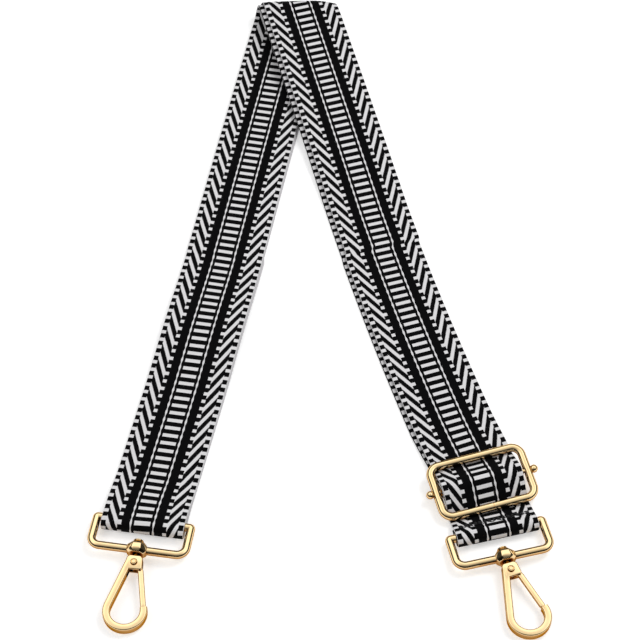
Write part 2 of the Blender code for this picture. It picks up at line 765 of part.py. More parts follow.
def add_pin(side, gold, parent):
    half = BOW_THICKNESS / 2 + PIN_HEAD_STANDOFF
    crown = PIN_HEAD_HEIGHT / 2
    profile = [
        (-half - PIN_HEAD_HEIGHT, 0),
        (-half - PIN_HEAD_HEIGHT, PIN_HEAD_RADIUS - crown),
        (-half - crown, PIN_HEAD_RADIUS),
        (-half, PIN_HEAD_RADIUS),
        (-half, GATE_PIN_RADIUS),
        (half, GATE_PIN_RADIUS),
        (half, PIN_HEAD_RADIUS),
        (half + crown, PIN_HEAD_RADIUS),
        (half + PIN_HEAD_HEIGHT, PIN_HEAD_RADIUS - crown),
        (half + PIN_HEAD_HEIGHT, 0),
    ]
    pivot = pivot_place()
    start = (pivot.x, pivot.y, 0)
    return revolved(f"{side}_gate_pin", profile, start, (0, 0, 1), gold, parent)


def add_spring(side, steel, parent):
    pivot = pivot_place()
    top = -head_top() - SLOT_ROOF - SPRING_WIRE - THREAD_GAP
    low = pivot.y - SPRING_SIDE
    bend = (pivot.x - SPRING_SIDE, pivot.y - SPRING_FOOT)
    path = [(pivot.x - SPRING_SIDE, top), (pivot.x - SPRING_SIDE, pivot.y), bend]
    path.append((pivot.x + SPRING_TOE, low))
    return sweep(f"{side}_gate_spring", path, SPRING_WIRE, SPRING_WIRE, steel, parent, sides=8)


def add_hook_assembly(side, gold, steel, root):
    distance = RING_DISTANCE[side]
    heading = heading_at(side, distance)
    place = leg_point(side, distance, RING_PLAY[side], BAR_HEIGHT)
    ring_pitch = -math.asin((BOSS_CENTRE_HEIGHT - BAR_HEIGHT) / RING_REACH)
    turn = SIDES[side] * heading
    ring_axis = empty(f"{side}_ring_axis", root, place, (ring_pitch, 0, turn))
    hook_pitch = math.asin((BOSS_CENTRE_HEIGHT - TIP_HEIGHT) / HOOK_REACH)
    lean = SIDES[side] * HOOK_HEADINGS[side] - turn
    at_boss = (0, -RING_REACH, 0)
    swivel = empty(f"{side}_swivel_axis", ring_axis, at_boss, (hook_pitch - ring_pitch, 0, lean))
    pivot = pivot_place()
    gate_axis = empty(f"{side}_gate_axis", swivel, (pivot.x, pivot.y, 0))
    ring = add_ring(side, gold, ring_axis)
    reach = BOSS_CROWN + OVERRUN
    bore_radius = POST_RADIUS + RUNNING_GAP
    bore = cylinder(f"{side}_boss_cutter", bore_radius, (0, -reach, 0), (0, reach, 0), None, swivel)
    cut(ring, bore)
    add_post(side, gold, swivel)
    add_hook(side, gold, swivel)
    add_gate(side, gold, gate_axis)
    add_pin(side, gold, swivel)
    add_spring(side, steel, swivel)


def add_slider(gold, root):
    place = leg_point("right", RIGHT_LEG, SLIDER_PLAY, SLIDER_HEIGHT)
    axis = empty("slider_axis", root, place, (SLIDER_TILT, 0, heading_at("right", RIGHT_LEG)))
    half = SLIDER_INNER_WIDTH / 2 + SLIDER_WIRE
    corner, pitch = SLIDER_CORNER, SLIDER_PITCH
    quarter = math.pi / 2
    path = arc((half - corner, pitch - corner), corner, quarter, 0)
    path += [(half, 0)]
    path += arc((half - corner, corner - pitch), corner, 0, -quarter)
    path += arc((corner - half, corner - pitch), corner, -quarter, -2 * quarter)
    path += [(-half, 0)]
    path += arc((corner - half, pitch - corner), corner, 2 * quarter, quarter)
    frame = sweep("slider_frame", path, SLIDER_WIRE, SLIDER_WIRE, gold, axis, closed=True)
    reach = half + SLIDER_WIRE + OVERRUN
    bore_radius = SLIDER_PIN_RADIUS + RUNNING_GAP
    bore = cylinder("slider_pin_cutter", bore_radius, (-reach, 0, 0), (reach, 0, 0), None, axis)
    cut(frame, bore)
    shoulder = SLIDER_INNER_WIDTH / 2 - RUNNING_GAP
    flat = SLIDER_BALL_CENTRE - math.sqrt(SLIDER_BALL**2 - SLIDER_PIN_RADIUS**2)
    ball = [
        (-SLIDER_BALL_CENTRE - SLIDER_BALL * math.cos(t), SLIDER_BALL * math.sin(t))
        for t in (quarter * i / 4 for i in range(7))
    ]
    inward = (-flat, SLIDER_PIN_RADIUS)
    profile = ball + [
        inward,
        (-shoulder, SLIDER_PIN_RADIUS),
        (-shoulder, SLIDER_BAR_RADIUS),
        (shoulder, SLIDER_BAR_RADIUS),
        (shoulder, SLIDER_PIN_RADIUS),
        (SLIDER_BALL_CENTRE, SLIDER_PIN_RADIUS),
        (SLIDER_BALL_CENTRE, 0),
    ]
    revolved("slider_bar", profile, (0, 0, 0), (1, 0, 0), gold, axis)
    cap_profile = [
        (-SLIDER_BALL * math.cos(t), SLIDER_BALL * math.sin(t))
        for t in (math.pi * i / 10 for i in range(11))
    ]
    start = (SLIDER_BALL_CENTRE, 0, 0)
    cap = revolved("slider_bar_cap", cap_profile, start, (1, 0, 0), gold, axis)
    room = SLIDER_PIN_RADIUS + THREAD_GAP
    well = cylinder(
        "cap_cutter",
        room,
        (SLIDER_BALL_CENTRE - SLIDER_BALL - OVERRUN, 0, 0),
        (SLIDER_BALL_CENTRE + THREAD_GAP, 0, 0),
        None,
        axis,
    )
    cut(cap, well)


def stand_on_floor(root):
    """Puts the origin under the middle of the whole strap, on the surface it lies on."""
    bpy.context.view_layer.update()
    graph = bpy.context.evaluated_depsgraph_get()
    spots = []
    for obj in bpy.context.scene.objects:
        if obj.type != "MESH" or obj.hide_render:
            continue
        shape = obj.evaluated_get(graph)
        spots += [shape.matrix_world @ v.co for v in shape.data.vertices]
    low = [min(spot[i] for spot in spots) for i in range(3)]
    high = [max(spot[i] for spot in spots) for i in range(3)]
    root.location = (-(low[0] + high[0]) / 2, -(low[1] + high[1]) / 2, -low[2])


def main():
    for obj in list(bpy.data.objects):
        bpy.data.objects.remove(obj)
    gold = material("polished gold plate", (0.86, 0.62, 0.33), 0.18, 1)
    steel = material("spring steel", (0.6, 0.6, 0.58), 0.3, 1)
    woven = material("black and white webbing", (0.35, 0.34, 0.35), 0.85, 0)
    thread = material("black thread", (0.02, 0.02, 0.02), 0.7, 0)
    root = empty("strap", None)
    strip_solid("webbing", webbing_grid(), WEBBING_THICKNESS, woven, root)
    add_stitching(thread, root)
    for side in SIDES:
        add_hook_assembly(side, gold, steel, root)
    add_slider(gold, root)
    stand_on_floor(root)


main()
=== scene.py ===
import json
import math

import bmesh
import bpy
from mathutils import Euler, Matrix, Vector


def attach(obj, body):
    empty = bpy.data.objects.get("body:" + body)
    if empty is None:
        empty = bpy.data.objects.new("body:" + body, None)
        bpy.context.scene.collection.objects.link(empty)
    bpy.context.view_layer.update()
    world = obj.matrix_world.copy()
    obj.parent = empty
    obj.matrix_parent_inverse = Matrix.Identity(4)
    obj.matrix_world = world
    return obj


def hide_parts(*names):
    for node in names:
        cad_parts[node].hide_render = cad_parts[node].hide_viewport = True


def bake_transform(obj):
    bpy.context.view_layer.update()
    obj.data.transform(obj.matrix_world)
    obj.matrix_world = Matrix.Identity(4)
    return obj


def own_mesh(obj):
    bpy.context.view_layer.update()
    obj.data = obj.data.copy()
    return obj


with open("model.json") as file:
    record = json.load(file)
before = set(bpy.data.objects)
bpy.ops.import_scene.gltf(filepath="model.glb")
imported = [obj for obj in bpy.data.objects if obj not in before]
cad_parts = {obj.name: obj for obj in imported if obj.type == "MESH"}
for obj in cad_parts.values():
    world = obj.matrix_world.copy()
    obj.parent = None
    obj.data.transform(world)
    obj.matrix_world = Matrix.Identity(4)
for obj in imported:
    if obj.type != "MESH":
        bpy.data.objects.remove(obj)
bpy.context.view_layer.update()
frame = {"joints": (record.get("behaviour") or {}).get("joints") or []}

# Webbing, as the solids have it
WEBBING_WIDTH = 0.038
WEBBING_THICKNESS = 0.0012
LAYER_GAP = 0.0004
LAYER_STEP = 0.0016
RETURN_SHIFT = -0.002
HALF = WEBBING_THICKNESS / 2
FOLD_RADIUS = 0.0062
FOLD_HALF_ANGLE = math.radians(13.16)
FOLD_TURN = math.radians(0.69)
DESCENT_ANGLE = math.radians(4.6)
DESCENT_FILLET = 0.120
FOLD_REGION = 0.172
LEFT_LEG = 0.3300
RIGHT_LEG = 0.3161
SLIDER_TO_RING = 0.0251
BUMP_HEIGHT = 0.0024
BUMP_CENTRE = 0.216
BUMP_REACH = 0.044
CENTRELINE_STEP = 0.002
RING_DRIFT = -0.0007
SLIDER_PLAY = 0.0005
RING_PLAY = {"left": 0, "right": -0.0005}
LEFT_HEADING_SHARES = ((0, 1), (0.2, 1), (0.45, 0.962), (0.7, 1.089), (0.955, 1.1), (1, 0.8))
RIGHT_HEADING_SHARES = (
    (0, 1),
    (0.2, 1),
    (0.45, 0.96),
    (0.7, 1.134),
    (0.9, 1.27),
    (0.93, 1.4),
    (0.955, 1.105),
    (1.03, 1.105),
    (1.07, 0.9),
)
SIDES = {"left": -1, "right": 1}
BASE_HEADING = {"left": FOLD_HALF_ANGLE - FOLD_TURN, "right": FOLD_HALF_ANGLE + FOLD_TURN}
LEG_LENGTH = {"left": LEFT_LEG, "right": RIGHT_LEG}
HEADING_SHARES = {"left": LEFT_HEADING_SHARES, "right": RIGHT_HEADING_SHARES}
RING_DISTANCE = {"left": LEFT_LEG, "right": RIGHT_LEG + SLIDER_TO_RING}

# Hardware, as the solids have it
RING_WIRE = 0.0019
RING_INNER_WIDTH = 0.0396
RING_REACH = 0.0154
RING_TOP_CORNER = 0.0006
RING_LOW_CORNER = 0.0042
BAR_CLEARANCE = 0.0005
LOOP_SLACK = {"left": 0.0022, "right": 0.0007}
BOSS_CROWN = 0.0036
BOSS_FOOT = 0.0029
BOSS_HIGH_SHOULDER = 0.0012
BOSS_LOW_SHOULDER = 0.0015
BOSS_RADIUS = 0.0050
BOSS_CROWN_RADIUS = 0.0030
BOSS_FOOT_RADIUS = 0.0038
BOSS_SIDES = 8
BOSS_CENTRE_HEIGHT = 0.0047
POST_RADIUS = 0.00125
POST_HEAD_RADIUS = 0.0023
POST_HEAD_HEIGHT = 0.0012
RUNNING_GAP = 0.0004
HEAD_GAP = 0.0007
HOOK_REACH = 0.0309
BOW_RADIUS = 0.0083
BOW_WIDTH = 0.0034
BOW_THICKNESS = 0.0046
NOSE_ANGLE = math.radians(17)
TIP_HEIGHT = 0.0031
HOOK_HEADINGS = {"left": math.radians(8.3), "right": math.radians(16)}
HEAD_WIDTH = 0.0082
HEAD_LENGTH = 0.0070
HEAD_SHOULDER = 0.0020
HEAD_WAIST = 0.0004  # how much narrower the head is above
HEAD_CORNER = 0.0012
SLOT_WALL = 0.0009
SLOT_ROOF = 0.0018
PIVOT_DROP = 0.0036
GATE_WIDTH = 0.0026
GATE_DEPTH = 0.0022
GATE_EYE_RADIUS = 0.0018
GATE_TIP_SHARE = 0.42
GATE_ELBOW_SIDE = 0.0034
GATE_ELBOW_DROP = 0.0030
PIN_SHAFT_RADIUS = 0.001
PIN_HEAD_RADIUS = 0.0016
PIN_HEAD_HEIGHT = 0.0005
PIN_HEAD_STANDOFF = 0.0003
CLEAR_BORE = 0.0014  # radius of the holes that a pin or the slider's bar goes through
SPRING_WIRE = 0.0003
SPRING_SIDE = 0.0026
SPRING_FOOT = 0.0018
SPRING_TOE = 0.0001
SLIDER_WIRE = 0.0019
SLIDER_INNER_WIDTH = 0.0400
SLIDER_PITCH = 0.0130
SLIDER_CORNER = 0.0046
SLIDER_BAR_RADIUS = 0.0015
SLIDER_PIN_RADIUS = 0.0010
SLIDER_BALL = 0.0019
SLIDER_BALL_CENTRE = 0.0249
SLIDER_TILT = math.radians(7.4)
SEAM_PLACE = 0.0012  # of the frame's butt joint, from its middle
TAIL_AT_SLIDER = 0.0090
TAIL_AT_RING = 0.0062
RUN_IN = 0.024
RING_SEAM = 0.0045
SLIDER_SEAM = 0.0075
SEAM_MARGIN = 0.0025
SEAM_ROWS = (-0.0002, 0.0011)
STITCH_PITCH = 0.0022
STITCH_RADIUS = 0.00031
STITCH_SWING = 0.00055
STITCH_SINK = 0.0001
STITCH_LIFT = 0.00042

LOOP_RADIUS = RING_WIRE + BAR_CLEARANCE + HALF
BAR_HEIGHT = HALF + LOOP_RADIUS
LOW_BAR_HEIGHT = 2 * HALF + BAR_CLEARANCE + SLIDER_WIRE
HUMP_RADIUS = SLIDER_BAR_RADIUS + 2 * BAR_CLEARANCE + 3 * HALF + LAYER_GAP / 2
WRAP_RADIUS = SLIDER_BAR_RADIUS + BAR_CLEARANCE + HALF
PASS_RADIUS = SLIDER_WIRE + BAR_CLEARANCE + HALF
SLIDER_HEIGHT = LOW_BAR_HEIGHT + SLIDER_PITCH * math.sin(SLIDER_TILT)

# Where the visible strip is cut, and how it gives way
FOLD_SPLIT = 0.036  # from the crest, down the right leg
SLIDE_REACH = 0.142
GAP_PLACES = (0.005, 0.002)  # of the hidden run, from the slider's bar
WEFT_LEAN = 0.055
LEAN_START = 0.17
LEAN_LENGTH = 0.06
CORNER_SAG = 0.0009  # how far the crest of the fold gives way towards its right-hand corner
CORNER_START = -0.0012
CORNER_WIDTH = 0.017
CORNER_PLACE = 0.0015
CORNER_REACH = 0.0065

# Fineness and edges of the visible meshes
LEG_ROW = 0.003
FOLD_ROW = 0.0008
LOOP_ROW = math.radians(9)
MIDDLE_COLUMNS = 17
SELVEDGE_INSET = 0.0021
SELVEDGE_PROFILE = ((0, 0.34), (0.00016, 0.72), (0.00042, 0.94), (0.0009, 1))  # inset, share of thickness
EMBEDDED_WIDTH = 0.98  # of the strip's width, and of its thickness below, where a run hides in another
EMBEDDED_THICKNESS = 0.7
WIRE_SIDES = 32
THREAD_SIDES = 8
BOW_SQUARENESS = 0.42
GATE_SQUARENESS = 0.55
POST_HEAD_SHARE = 0.62  # of the solid's height
POST_ROUNDING = 0.00045
PIN_ROUNDING = 0.0003
PIN_REST = 0.0001
GROOVE_SHARE = 0.62
GROOVE_WIDTH = 0.00016
BALL_TURN = math.radians(148)
BALL_STEPS = 14
AXIS_RADIUS = 1e-5
MILLIMETRE = 0.001
QUARTER = math.pi / 2
X, Y, Z = Vector((1, 0, 0)), Vector((0, 1, 0)), Vector((0, 0, 1))

# Camera of the photograph, 640 pixels across
VIEW_TARGET = Vector((0.0022, -0.0151, 0))
VIEW_ELEVATION = math.radians(53.2)
VIEW_DISTANCE = 1.069
VIEW_ROLL = math.radians(1.29)
LENS = 123.9
SENSOR = 36

# Studio
FLOOR_REACH = 3.0
FLOOR_DROP = 0.0001
LAMP_TARGET = Vector((0, -0.05, 0))
GLOSS_STOPS = ((0.0, 0.30), (0.06, 0.05), (0.46, 0.04), (0.56, 0.85), (0.70, 1.6), (0.86, 1.6), (0.95, 1.0))
GLOSS_FRONT = {1: -0.6, 2: 0.0, 3: 0.12, 4: 1.0}  # gloss by direction in Y


# Lay of the strap, in its own plan: crest of the fold at the origin, legs towards -Y

def heading_at(side, d):
    shares = HEADING_SHARES[side]
    place = d / LEG_LENGTH[side]
    for (p0, h0), (p1, h1) in zip(shares, shares[1:]):
        if place <= p1:
            return BASE_HEADING[side] * (h0 + (h1 - h0) * max(0, place - p0) / (p1 - p0))
    return BASE_HEADING[side] * shares[-1][1]


def leg_direction(side, heading):
    return Vector((SIDES[side] * math.sin(heading), -math.cos(heading)))


def across(side, heading):
    return Vector((math.cos(heading), SIDES[side] * math.sin(heading)))


def make_centreline(side):
    spots = [Vector((0, 0))]
    while (len(spots) - 1) * CENTRELINE_STEP < RING_DISTANCE[side] + 2 * SLIDER_TO_RING:
        middle = (len(spots) - 0.5) * CENTRELINE_STEP
        spots.append(spots[-1] + CENTRELINE_STEP * leg_direction(side, heading_at(side, middle)))
    return spots


CENTRELINES = {side: make_centreline(side) for side in SIDES}


def centre_at(side, d):
    if d < 0:
        return d * leg_direction(side, BASE_HEADING[side])
    index = int(d / CENTRELINE_STEP)
    return CENTRELINES[side][index].lerp(CENTRELINES[side][index + 1], d / CENTRELINE_STEP - index)


def ease(share):
    share = min(1, max(0, share))
    return share * share * (3 - 2 * share)


def drift(side, d):
    """How far the strap's middle lies to the side of its centreline, between the slider and its ring."""
    return 0 if side == "left" else RING_DRIFT * ease((d - RIGHT_LEG) / SLIDER_TO_RING)


def leg_point(side, d, u, z):
    heading = heading_at(side, max(0, d))
    spot = centre_at(side, d) + (u + drift(side, d)) * across(side, heading)
    return Vector((spot.x, spot.y, z))


def fold_profile(q, inner):
    radius = FOLD_RADIUS - inner
    centre_z = HALF + FOLD_RADIUS
    turned = math.pi / 2 + DESCENT_ANGLE
    if q < -radius * math.pi / 2:
        return -FOLD_RADIUS + q + radius * math.pi / 2, HALF + inner
    if q <= radius * turned:
        return radius * math.cos(q / radius) - FOLD_RADIUS, centre_z + radius * math.sin(q / radius)
    slope_drop = FOLD_RADIUS * (1 + math.cos(DESCENT_ANGLE)) - LAYER_STEP
    slope_drop -= DESCENT_FILLET * (1 - math.cos(DESCENT_ANGLE))
    slope = slope_drop / math.sin(DESCENT_ANGLE)
    y = radius * math.cos(turned) - FOLD_RADIUS
    z = centre_z + radius * math.sin(turned)
    run = min(q - radius * turned, slope)
    y, z = y - run * math.cos(DESCENT_ANGLE), z - run * math.sin(DESCENT_ANGLE)
    fillet = DESCENT_FILLET + inner
    bend = min(max(0, q - radius * turned - slope) / fillet, DESCENT_ANGLE)
    centre = (y - fillet * math.sin(DESCENT_ANGLE), z + fillet * math.cos(DESCENT_ANGLE))
    if bend > 0:
        left = DESCENT_ANGLE - bend
        y, z = centre[0] + fillet * math.sin(left), centre[1] - fillet * math.cos(left)
    return y - max(0, q - radius * turned - slope - fillet * DESCENT_ANGLE), z


def fold_point(a, u, inner, shift):
    p = a * math.sin(FOLD_HALF_ANGLE) + u * math.cos(FOLD_HALF_ANGLE) + shift
    q = a * math.cos(FOLD_HALF_ANGLE) - u * math.sin(FOLD_HALF_ANGLE)
    y, z = fold_profile(q, inner)
    ahead = max(0, (p - CORNER_START) / CORNER_WIDTH)
    sag = CORNER_SAG * ahead**4 * math.exp(-((q - CORNER_PLACE) / CORNER_REACH) ** 2)
    y, z = y - sag, z - sag
    plan = Matrix.Rotation(FOLD_TURN, 2) @ Vector((p, y))
    side = "left" if q < 0 else "right"
    way, out = leg_direction(side, BASE_HEADING[side]), across(side, BASE_HEADING[side])
    d = plan.dot(way)
    if d < LEG_LENGTH[side] * HEADING_SHARES[side][1][0]:
        return Vector((plan.x, plan.y, z))
    return leg_point(side, d, plan.dot(out), z)


def bump(side, d):
    if side == "right" or abs(d - BUMP_CENTRE) >= BUMP_REACH:
        return 0
    return BUMP_HEIGHT * math.cos(math.pi / 2 * (d - BUMP_CENTRE) / BUMP_REACH) ** 2


def arc(centre, radius, start, end, step=math.radians(6)):
    count = max(2, math.ceil(abs(end - start) / step) + 1)
    turns = [start + (end - start) * i / (count - 1) for i in range(count)]
    return [(centre[0] + radius * math.cos(t), centre[1] + radius * math.sin(t)) for t in turns]


def tangent(first, second):
    (x0, z0, r0, t0), (x1, z1, r1, t1) = first, second
    span = Vector((x1 - x0, z1 - z0))
    lean = math.asin((t1 * r1 - t0 * r0) / span.length)
    way = math.atan2(span.y, span.x) - lean
    out = Vector((math.sin(way), -math.cos(way)))
    return Vector((x0, z0)) + t0 * r0 * out, Vector((x1, z1)) + t1 * r1 * out


def belt(circles):
    straights = [tangent(a, b) for a, b in zip(circles, circles[1:])]
    points, marks = [straights[0][0]], []
    for i, (start, end) in enumerate(straights):
        count = max(1, math.ceil((end - start).length / LEG_ROW))
        points += [start.lerp(end, j / count) for j in range(1, count + 1)]
        if i + 1 < len(straights):
            x, z, radius, turn = circles[i + 1]
            if not radius:
                continue
            a0 = math.atan2(end.y - z, end.x - x)
            leave = straights[i + 1][0]
            a1 = math.atan2(leave.y - z, leave.x - x)
            while (a1 - a0) * turn < 0:
                a1 += 2 * math.pi * turn
            first = len(points) - 1
            points += [Vector(spot) for spot in arc((x, z), radius, a0, a1, LOOP_ROW)[1:]]
            marks.append((first, len(points) - 1))
    return points, marks


def leg_rows(side, start, end, z, shift):
    count = math.ceil(abs(end - start) / LEG_ROW)
    places = [start + (end - start) * i / count for i in range(count + 1)]
    return [(side, d, z + bump(side, d), shift) for d in places]


def belt_rows(side, origin, points, shift):
    return [(side, origin + spot.x, spot.y, shift) for spot in points]


def fold_rows(inner, towards):
    steps = [FOLD_REGION]
    dense = FOLD_RADIUS * math.pi / 2 + WEBBING_WIDTH / 2 * math.sin(FOLD_HALF_ANGLE) + FOLD_ROW
    while steps[-1] - LEG_ROW > dense + LEG_ROW / 2:
        steps.append(steps[-1] - LEG_ROW)
    count = math.ceil(2 * dense / FOLD_ROW)
    inside = [dense - 2 * dense * i / count for i in range(count + 1)]
    places = steps + inside + [-step for step in reversed(steps)]
    return [("fold", towards * place, inner, 0) for place in places]


def run_distance(side, inner):
    edge = FOLD_REGION if side == "right" else -FOLD_REGION
    spot = fold_point(edge, 0, inner, 0)
    line = CENTRELINES[side]
    nearest = min(range(len(line)), key=lambda i: (line[i] - spot.xy).length)
    way = leg_direction(side, heading_at(side, nearest * CENTRELINE_STEP))
    return nearest * CENTRELINE_STEP + (spot.xy - line[nearest]).dot(way)


def slider_circles():
    run, rise = SLIDER_PITCH * math.cos(SLIDER_TILT), SLIDER_PITCH * math.sin(SLIDER_TILT)
    return (run, SLIDER_HEIGHT - rise), (0, SLIDER_HEIGHT), (-run, SLIDER_HEIGHT + rise)


def tail_point():
    _, middle, high = slider_circles()
    under, over = tangent((*high, PASS_RADIUS, 1), (*middle, HUMP_RADIUS, -1))
    way = (over - under).normalized()
    meet = over + (HUMP_RADIUS - WRAP_RADIUS) * Vector((way.y, -way.x))
    spot = meet - (TAIL_AT_SLIDER - SLIDER_BAR_RADIUS) * way
    return (spot.x, spot.y, 0, 1)


def left_shift(d):
    """The second run closes on the first down the left leg, from the fold to the ring."""
    return RETURN_SHIFT * max(0, 1 - d / LEFT_LEG)


def webbing_route():
    """Every row of the strip, and the rows where its stretches begin and end."""
    low, middle, high = slider_circles()
    upper = HALF + LAYER_STEP
    main_start = -SLIDER_PITCH - RUN_IN
    ring_end = [
        (SLIDER_TO_RING - TAIL_AT_RING, HALF, 0, 1),
        (SLIDER_TO_RING + LOOP_SLACK["right"], BAR_HEIGHT, LOOP_RADIUS, 1),
        (*low, PASS_RADIUS, -1),
        (*middle, HUMP_RADIUS, 1),
        (*high, PASS_RADIUS, -1),
        (main_start, upper, 0, 1),
    ]
    points, arcs = belt(ring_end)
    marks = {"bottom_bar": arcs[1][0], "hump": arcs[2], "top_bar": arcs[3][1]}
    rows = belt_rows("right", RIGHT_LEG, points, 0)
    rows += leg_rows("right", RIGHT_LEG + main_start, run_distance("right", 0), upper, 0)[1:-1]
    fold = fold_rows(0, 1)
    marks["main_split"] = len(rows) + nearest_split(fold)
    rows += fold
    rows += leg_rows("left", run_distance("left", 0), LEFT_LEG - RUN_IN, HALF, 0)[1:]
    turn = [
        (-RUN_IN, HALF, 0, 1),
        (LOOP_SLACK["left"], BAR_HEIGHT, LOOP_RADIUS, 1),
        (-RUN_IN, upper, 0, 1),
    ]
    loop = belt_rows("left", LEFT_LEG, belt(turn)[0], 0)[1:]
    for i, (side, d, z, _) in enumerate(loop):
        rows.append((side, d, z, left_shift(d) if i > len(loop) / 2 else 0))
    inner_left = run_distance("left", LAYER_STEP)
    back = leg_rows("left", LEFT_LEG - RUN_IN, inner_left, upper, 0)[1:-1]
    rows += [(side, d, z, left_shift(d)) for side, d, z, _ in back]
    fold = [(kind, a, z, left_shift(max(0, -a))) for kind, a, z, _ in fold_rows(LAYER_STEP, -1)]
    marks["return_split"] = len(rows) + nearest_split(fold)
    rows += fold
    inner_right = run_distance("right", LAYER_STEP)
    rows += leg_rows("right", inner_right, RIGHT_LEG + main_start, HALF, RETURN_SHIFT)[1:]
    slider_end = [(main_start, HALF, 0, 1), (0, SLIDER_HEIGHT, WRAP_RADIUS, 1), tail_point()]
    points, arcs = belt(slider_end)
    base = len(rows) - 1
    marks["wrap"] = base + arcs[0][0]
    for side, d, z, shift in belt_rows("right", RIGHT_LEG, points, RETURN_SHIFT)[1:]:
        share = min(1, max(0, (RIGHT_LEG - d) / (SLIDER_PITCH + RUN_IN)))
        rows.append((side, d, z, shift * share))
    level = RIGHT_LEG - SLIDER_PITCH
    marks["wrap_split"] = min(range(base, marks["wrap"]), key=lambda i: abs(rows[i][1] - level))
    return rows, marks


def nearest_split(fold):
    """The row just past the fold on the right leg, where the legs' stretches part."""
    return min(range(len(fold)), key=lambda i: abs(fold[i][1] - FOLD_SPLIT))


def under_run(rows, marks):
    """The strip's own run under the slider, hidden in the other runs until the slider moves up."""
    level = SLIDER_HEIGHT - WRAP_RADIUS
    rise = [row for row in rows[marks["bottom_bar"] + 1:marks["hump"][0]] if row[2] < level]
    across_gap = [("right", RIGHT_LEG + place, level, 0) for place in GAP_PLACES]
    back = reversed(rows[marks["return_split"]:marks["wrap"] + 1])
    return rise + across_gap + [row for row in back if row[0] == "right" and row[1] > RIGHT_LEG - SLIDE_REACH]


JOINTS = {joint["name"]: joint for joint in frame["joints"]}
STRAP_PLACE = Vector(JOINTS["left_ring_tilt"]["pos_m"]) - leg_point("left", LEFT_LEG, 0, BAR_HEIGHT)


def column_places():
    """Places across the strip and the share of its thickness there: full, then rounded at the selvedges."""
    half = WEBBING_WIDTH / 2
    edge = [(half - inset, share) for inset, share in SELVEDGE_PROFILE]
    inner = half - SELVEDGE_INSET
    middle = [(inner * (2 * i / (MIDDLE_COLUMNS - 1) - 1), 1) for i in range(MIDDLE_COLUMNS)]
    return [(-u, share) for u, share in edge] + middle + [(u, share) for u, share in reversed(edge)]


PLACES = column_places()
COLUMNS = len(PLACES)


def row_points(row, width=1.0):
    kind, place, height, shift = row
    spots = []
    for u, _ in PLACES:
        if kind == "fold":
            spots.append(fold_point(place, u * width, height, shift) + STRAP_PLACE)
        else:
            spots.append(leg_point(kind, place, u * width + shift, height) + STRAP_PLACE)
    return spots


def new_object(name, mesh, finish=None):
    made = bpy.data.objects.new(name, mesh)
    bpy.context.scene.collection.objects.link(made)
    if finish:
        mesh.materials.append(finish)
    return made


class Strip:
    """The woven strip along some rows, from which stretches are cut as meshes."""

    def __init__(self, rows, hidden_from=None):
        hidden_from = len(rows) if hidden_from is None else hidden_from
        self.rows = rows
        self.grid = [row_points(row, EMBEDDED_WIDTH if i > hidden_from else 1) for i, row in enumerate(rows)]
        self.share = [EMBEDDED_THICKNESS if i > hidden_from else 1 for i in range(len(rows))]
        middle = COLUMNS // 2
        self.along = [0.0]
        for before, after in zip(self.grid, self.grid[1:]):
            self.along.append(self.along[-1] + (after[middle] - before[middle]).length)
        self.normals = []
        last = len(self.grid) - 1
        for i, row in enumerate(self.grid):
            line = []
            for j in range(COLUMNS):
                way = self.grid[min(i + 1, last)][j] - self.grid[max(i - 1, 0)][j]
                side = row[min(j + 1, COLUMNS - 1)] - row[max(j - 1, 0)]
                line.append(way.cross(side).normalized())
            self.normals.append(line)

    def skew(self, i):
        """How far the weft leans on the left leg, which is pulled a little out of square there."""
        kind, d = self.rows[i][:2]
        return WEFT_LEAN * ease((d - LEAN_START) / LEAN_LENGTH) if kind == "left" else 0

    def piece(self, name, first, last, finish):
        """The stretch from row first to row last. Its lay attribute holds across, along and face."""
        loop = [(j, 1) for j in range(COLUMNS)] + [(j, -1) for j in reversed(range(COLUMNS))]
        verts, lay = [], []
        for i in range(first, last + 1):
            for j, face in loop:
                u, share = PLACES[j]
                reach = face * share * self.share[i] * WEBBING_THICKNESS / 2
                verts.append(self.grid[i][j] + self.normals[i][j] * reach)
                along = self.along[i] - self.skew(i) * u
                lay.append((u / MILLIMETRE, along / MILLIMETRE, -face))
        width, faces = len(loop), []
        for i in range(last - first):
            for j in range(width):
                k = (j + 1) % width
                faces.append((i * width + j, i * width + k, (i + 1) * width + k, (i + 1) * width + j))
        end = (last - first) * width
        for j in range(COLUMNS - 1):
            faces.append((j, width - 1 - j, width - 2 - j, j + 1))
            faces.append((end + j, end + j + 1, end + width - 2 - j, end + width - 1 - j))
        return solid_with_lay(name, verts, faces, lay, finish)


# Finishes

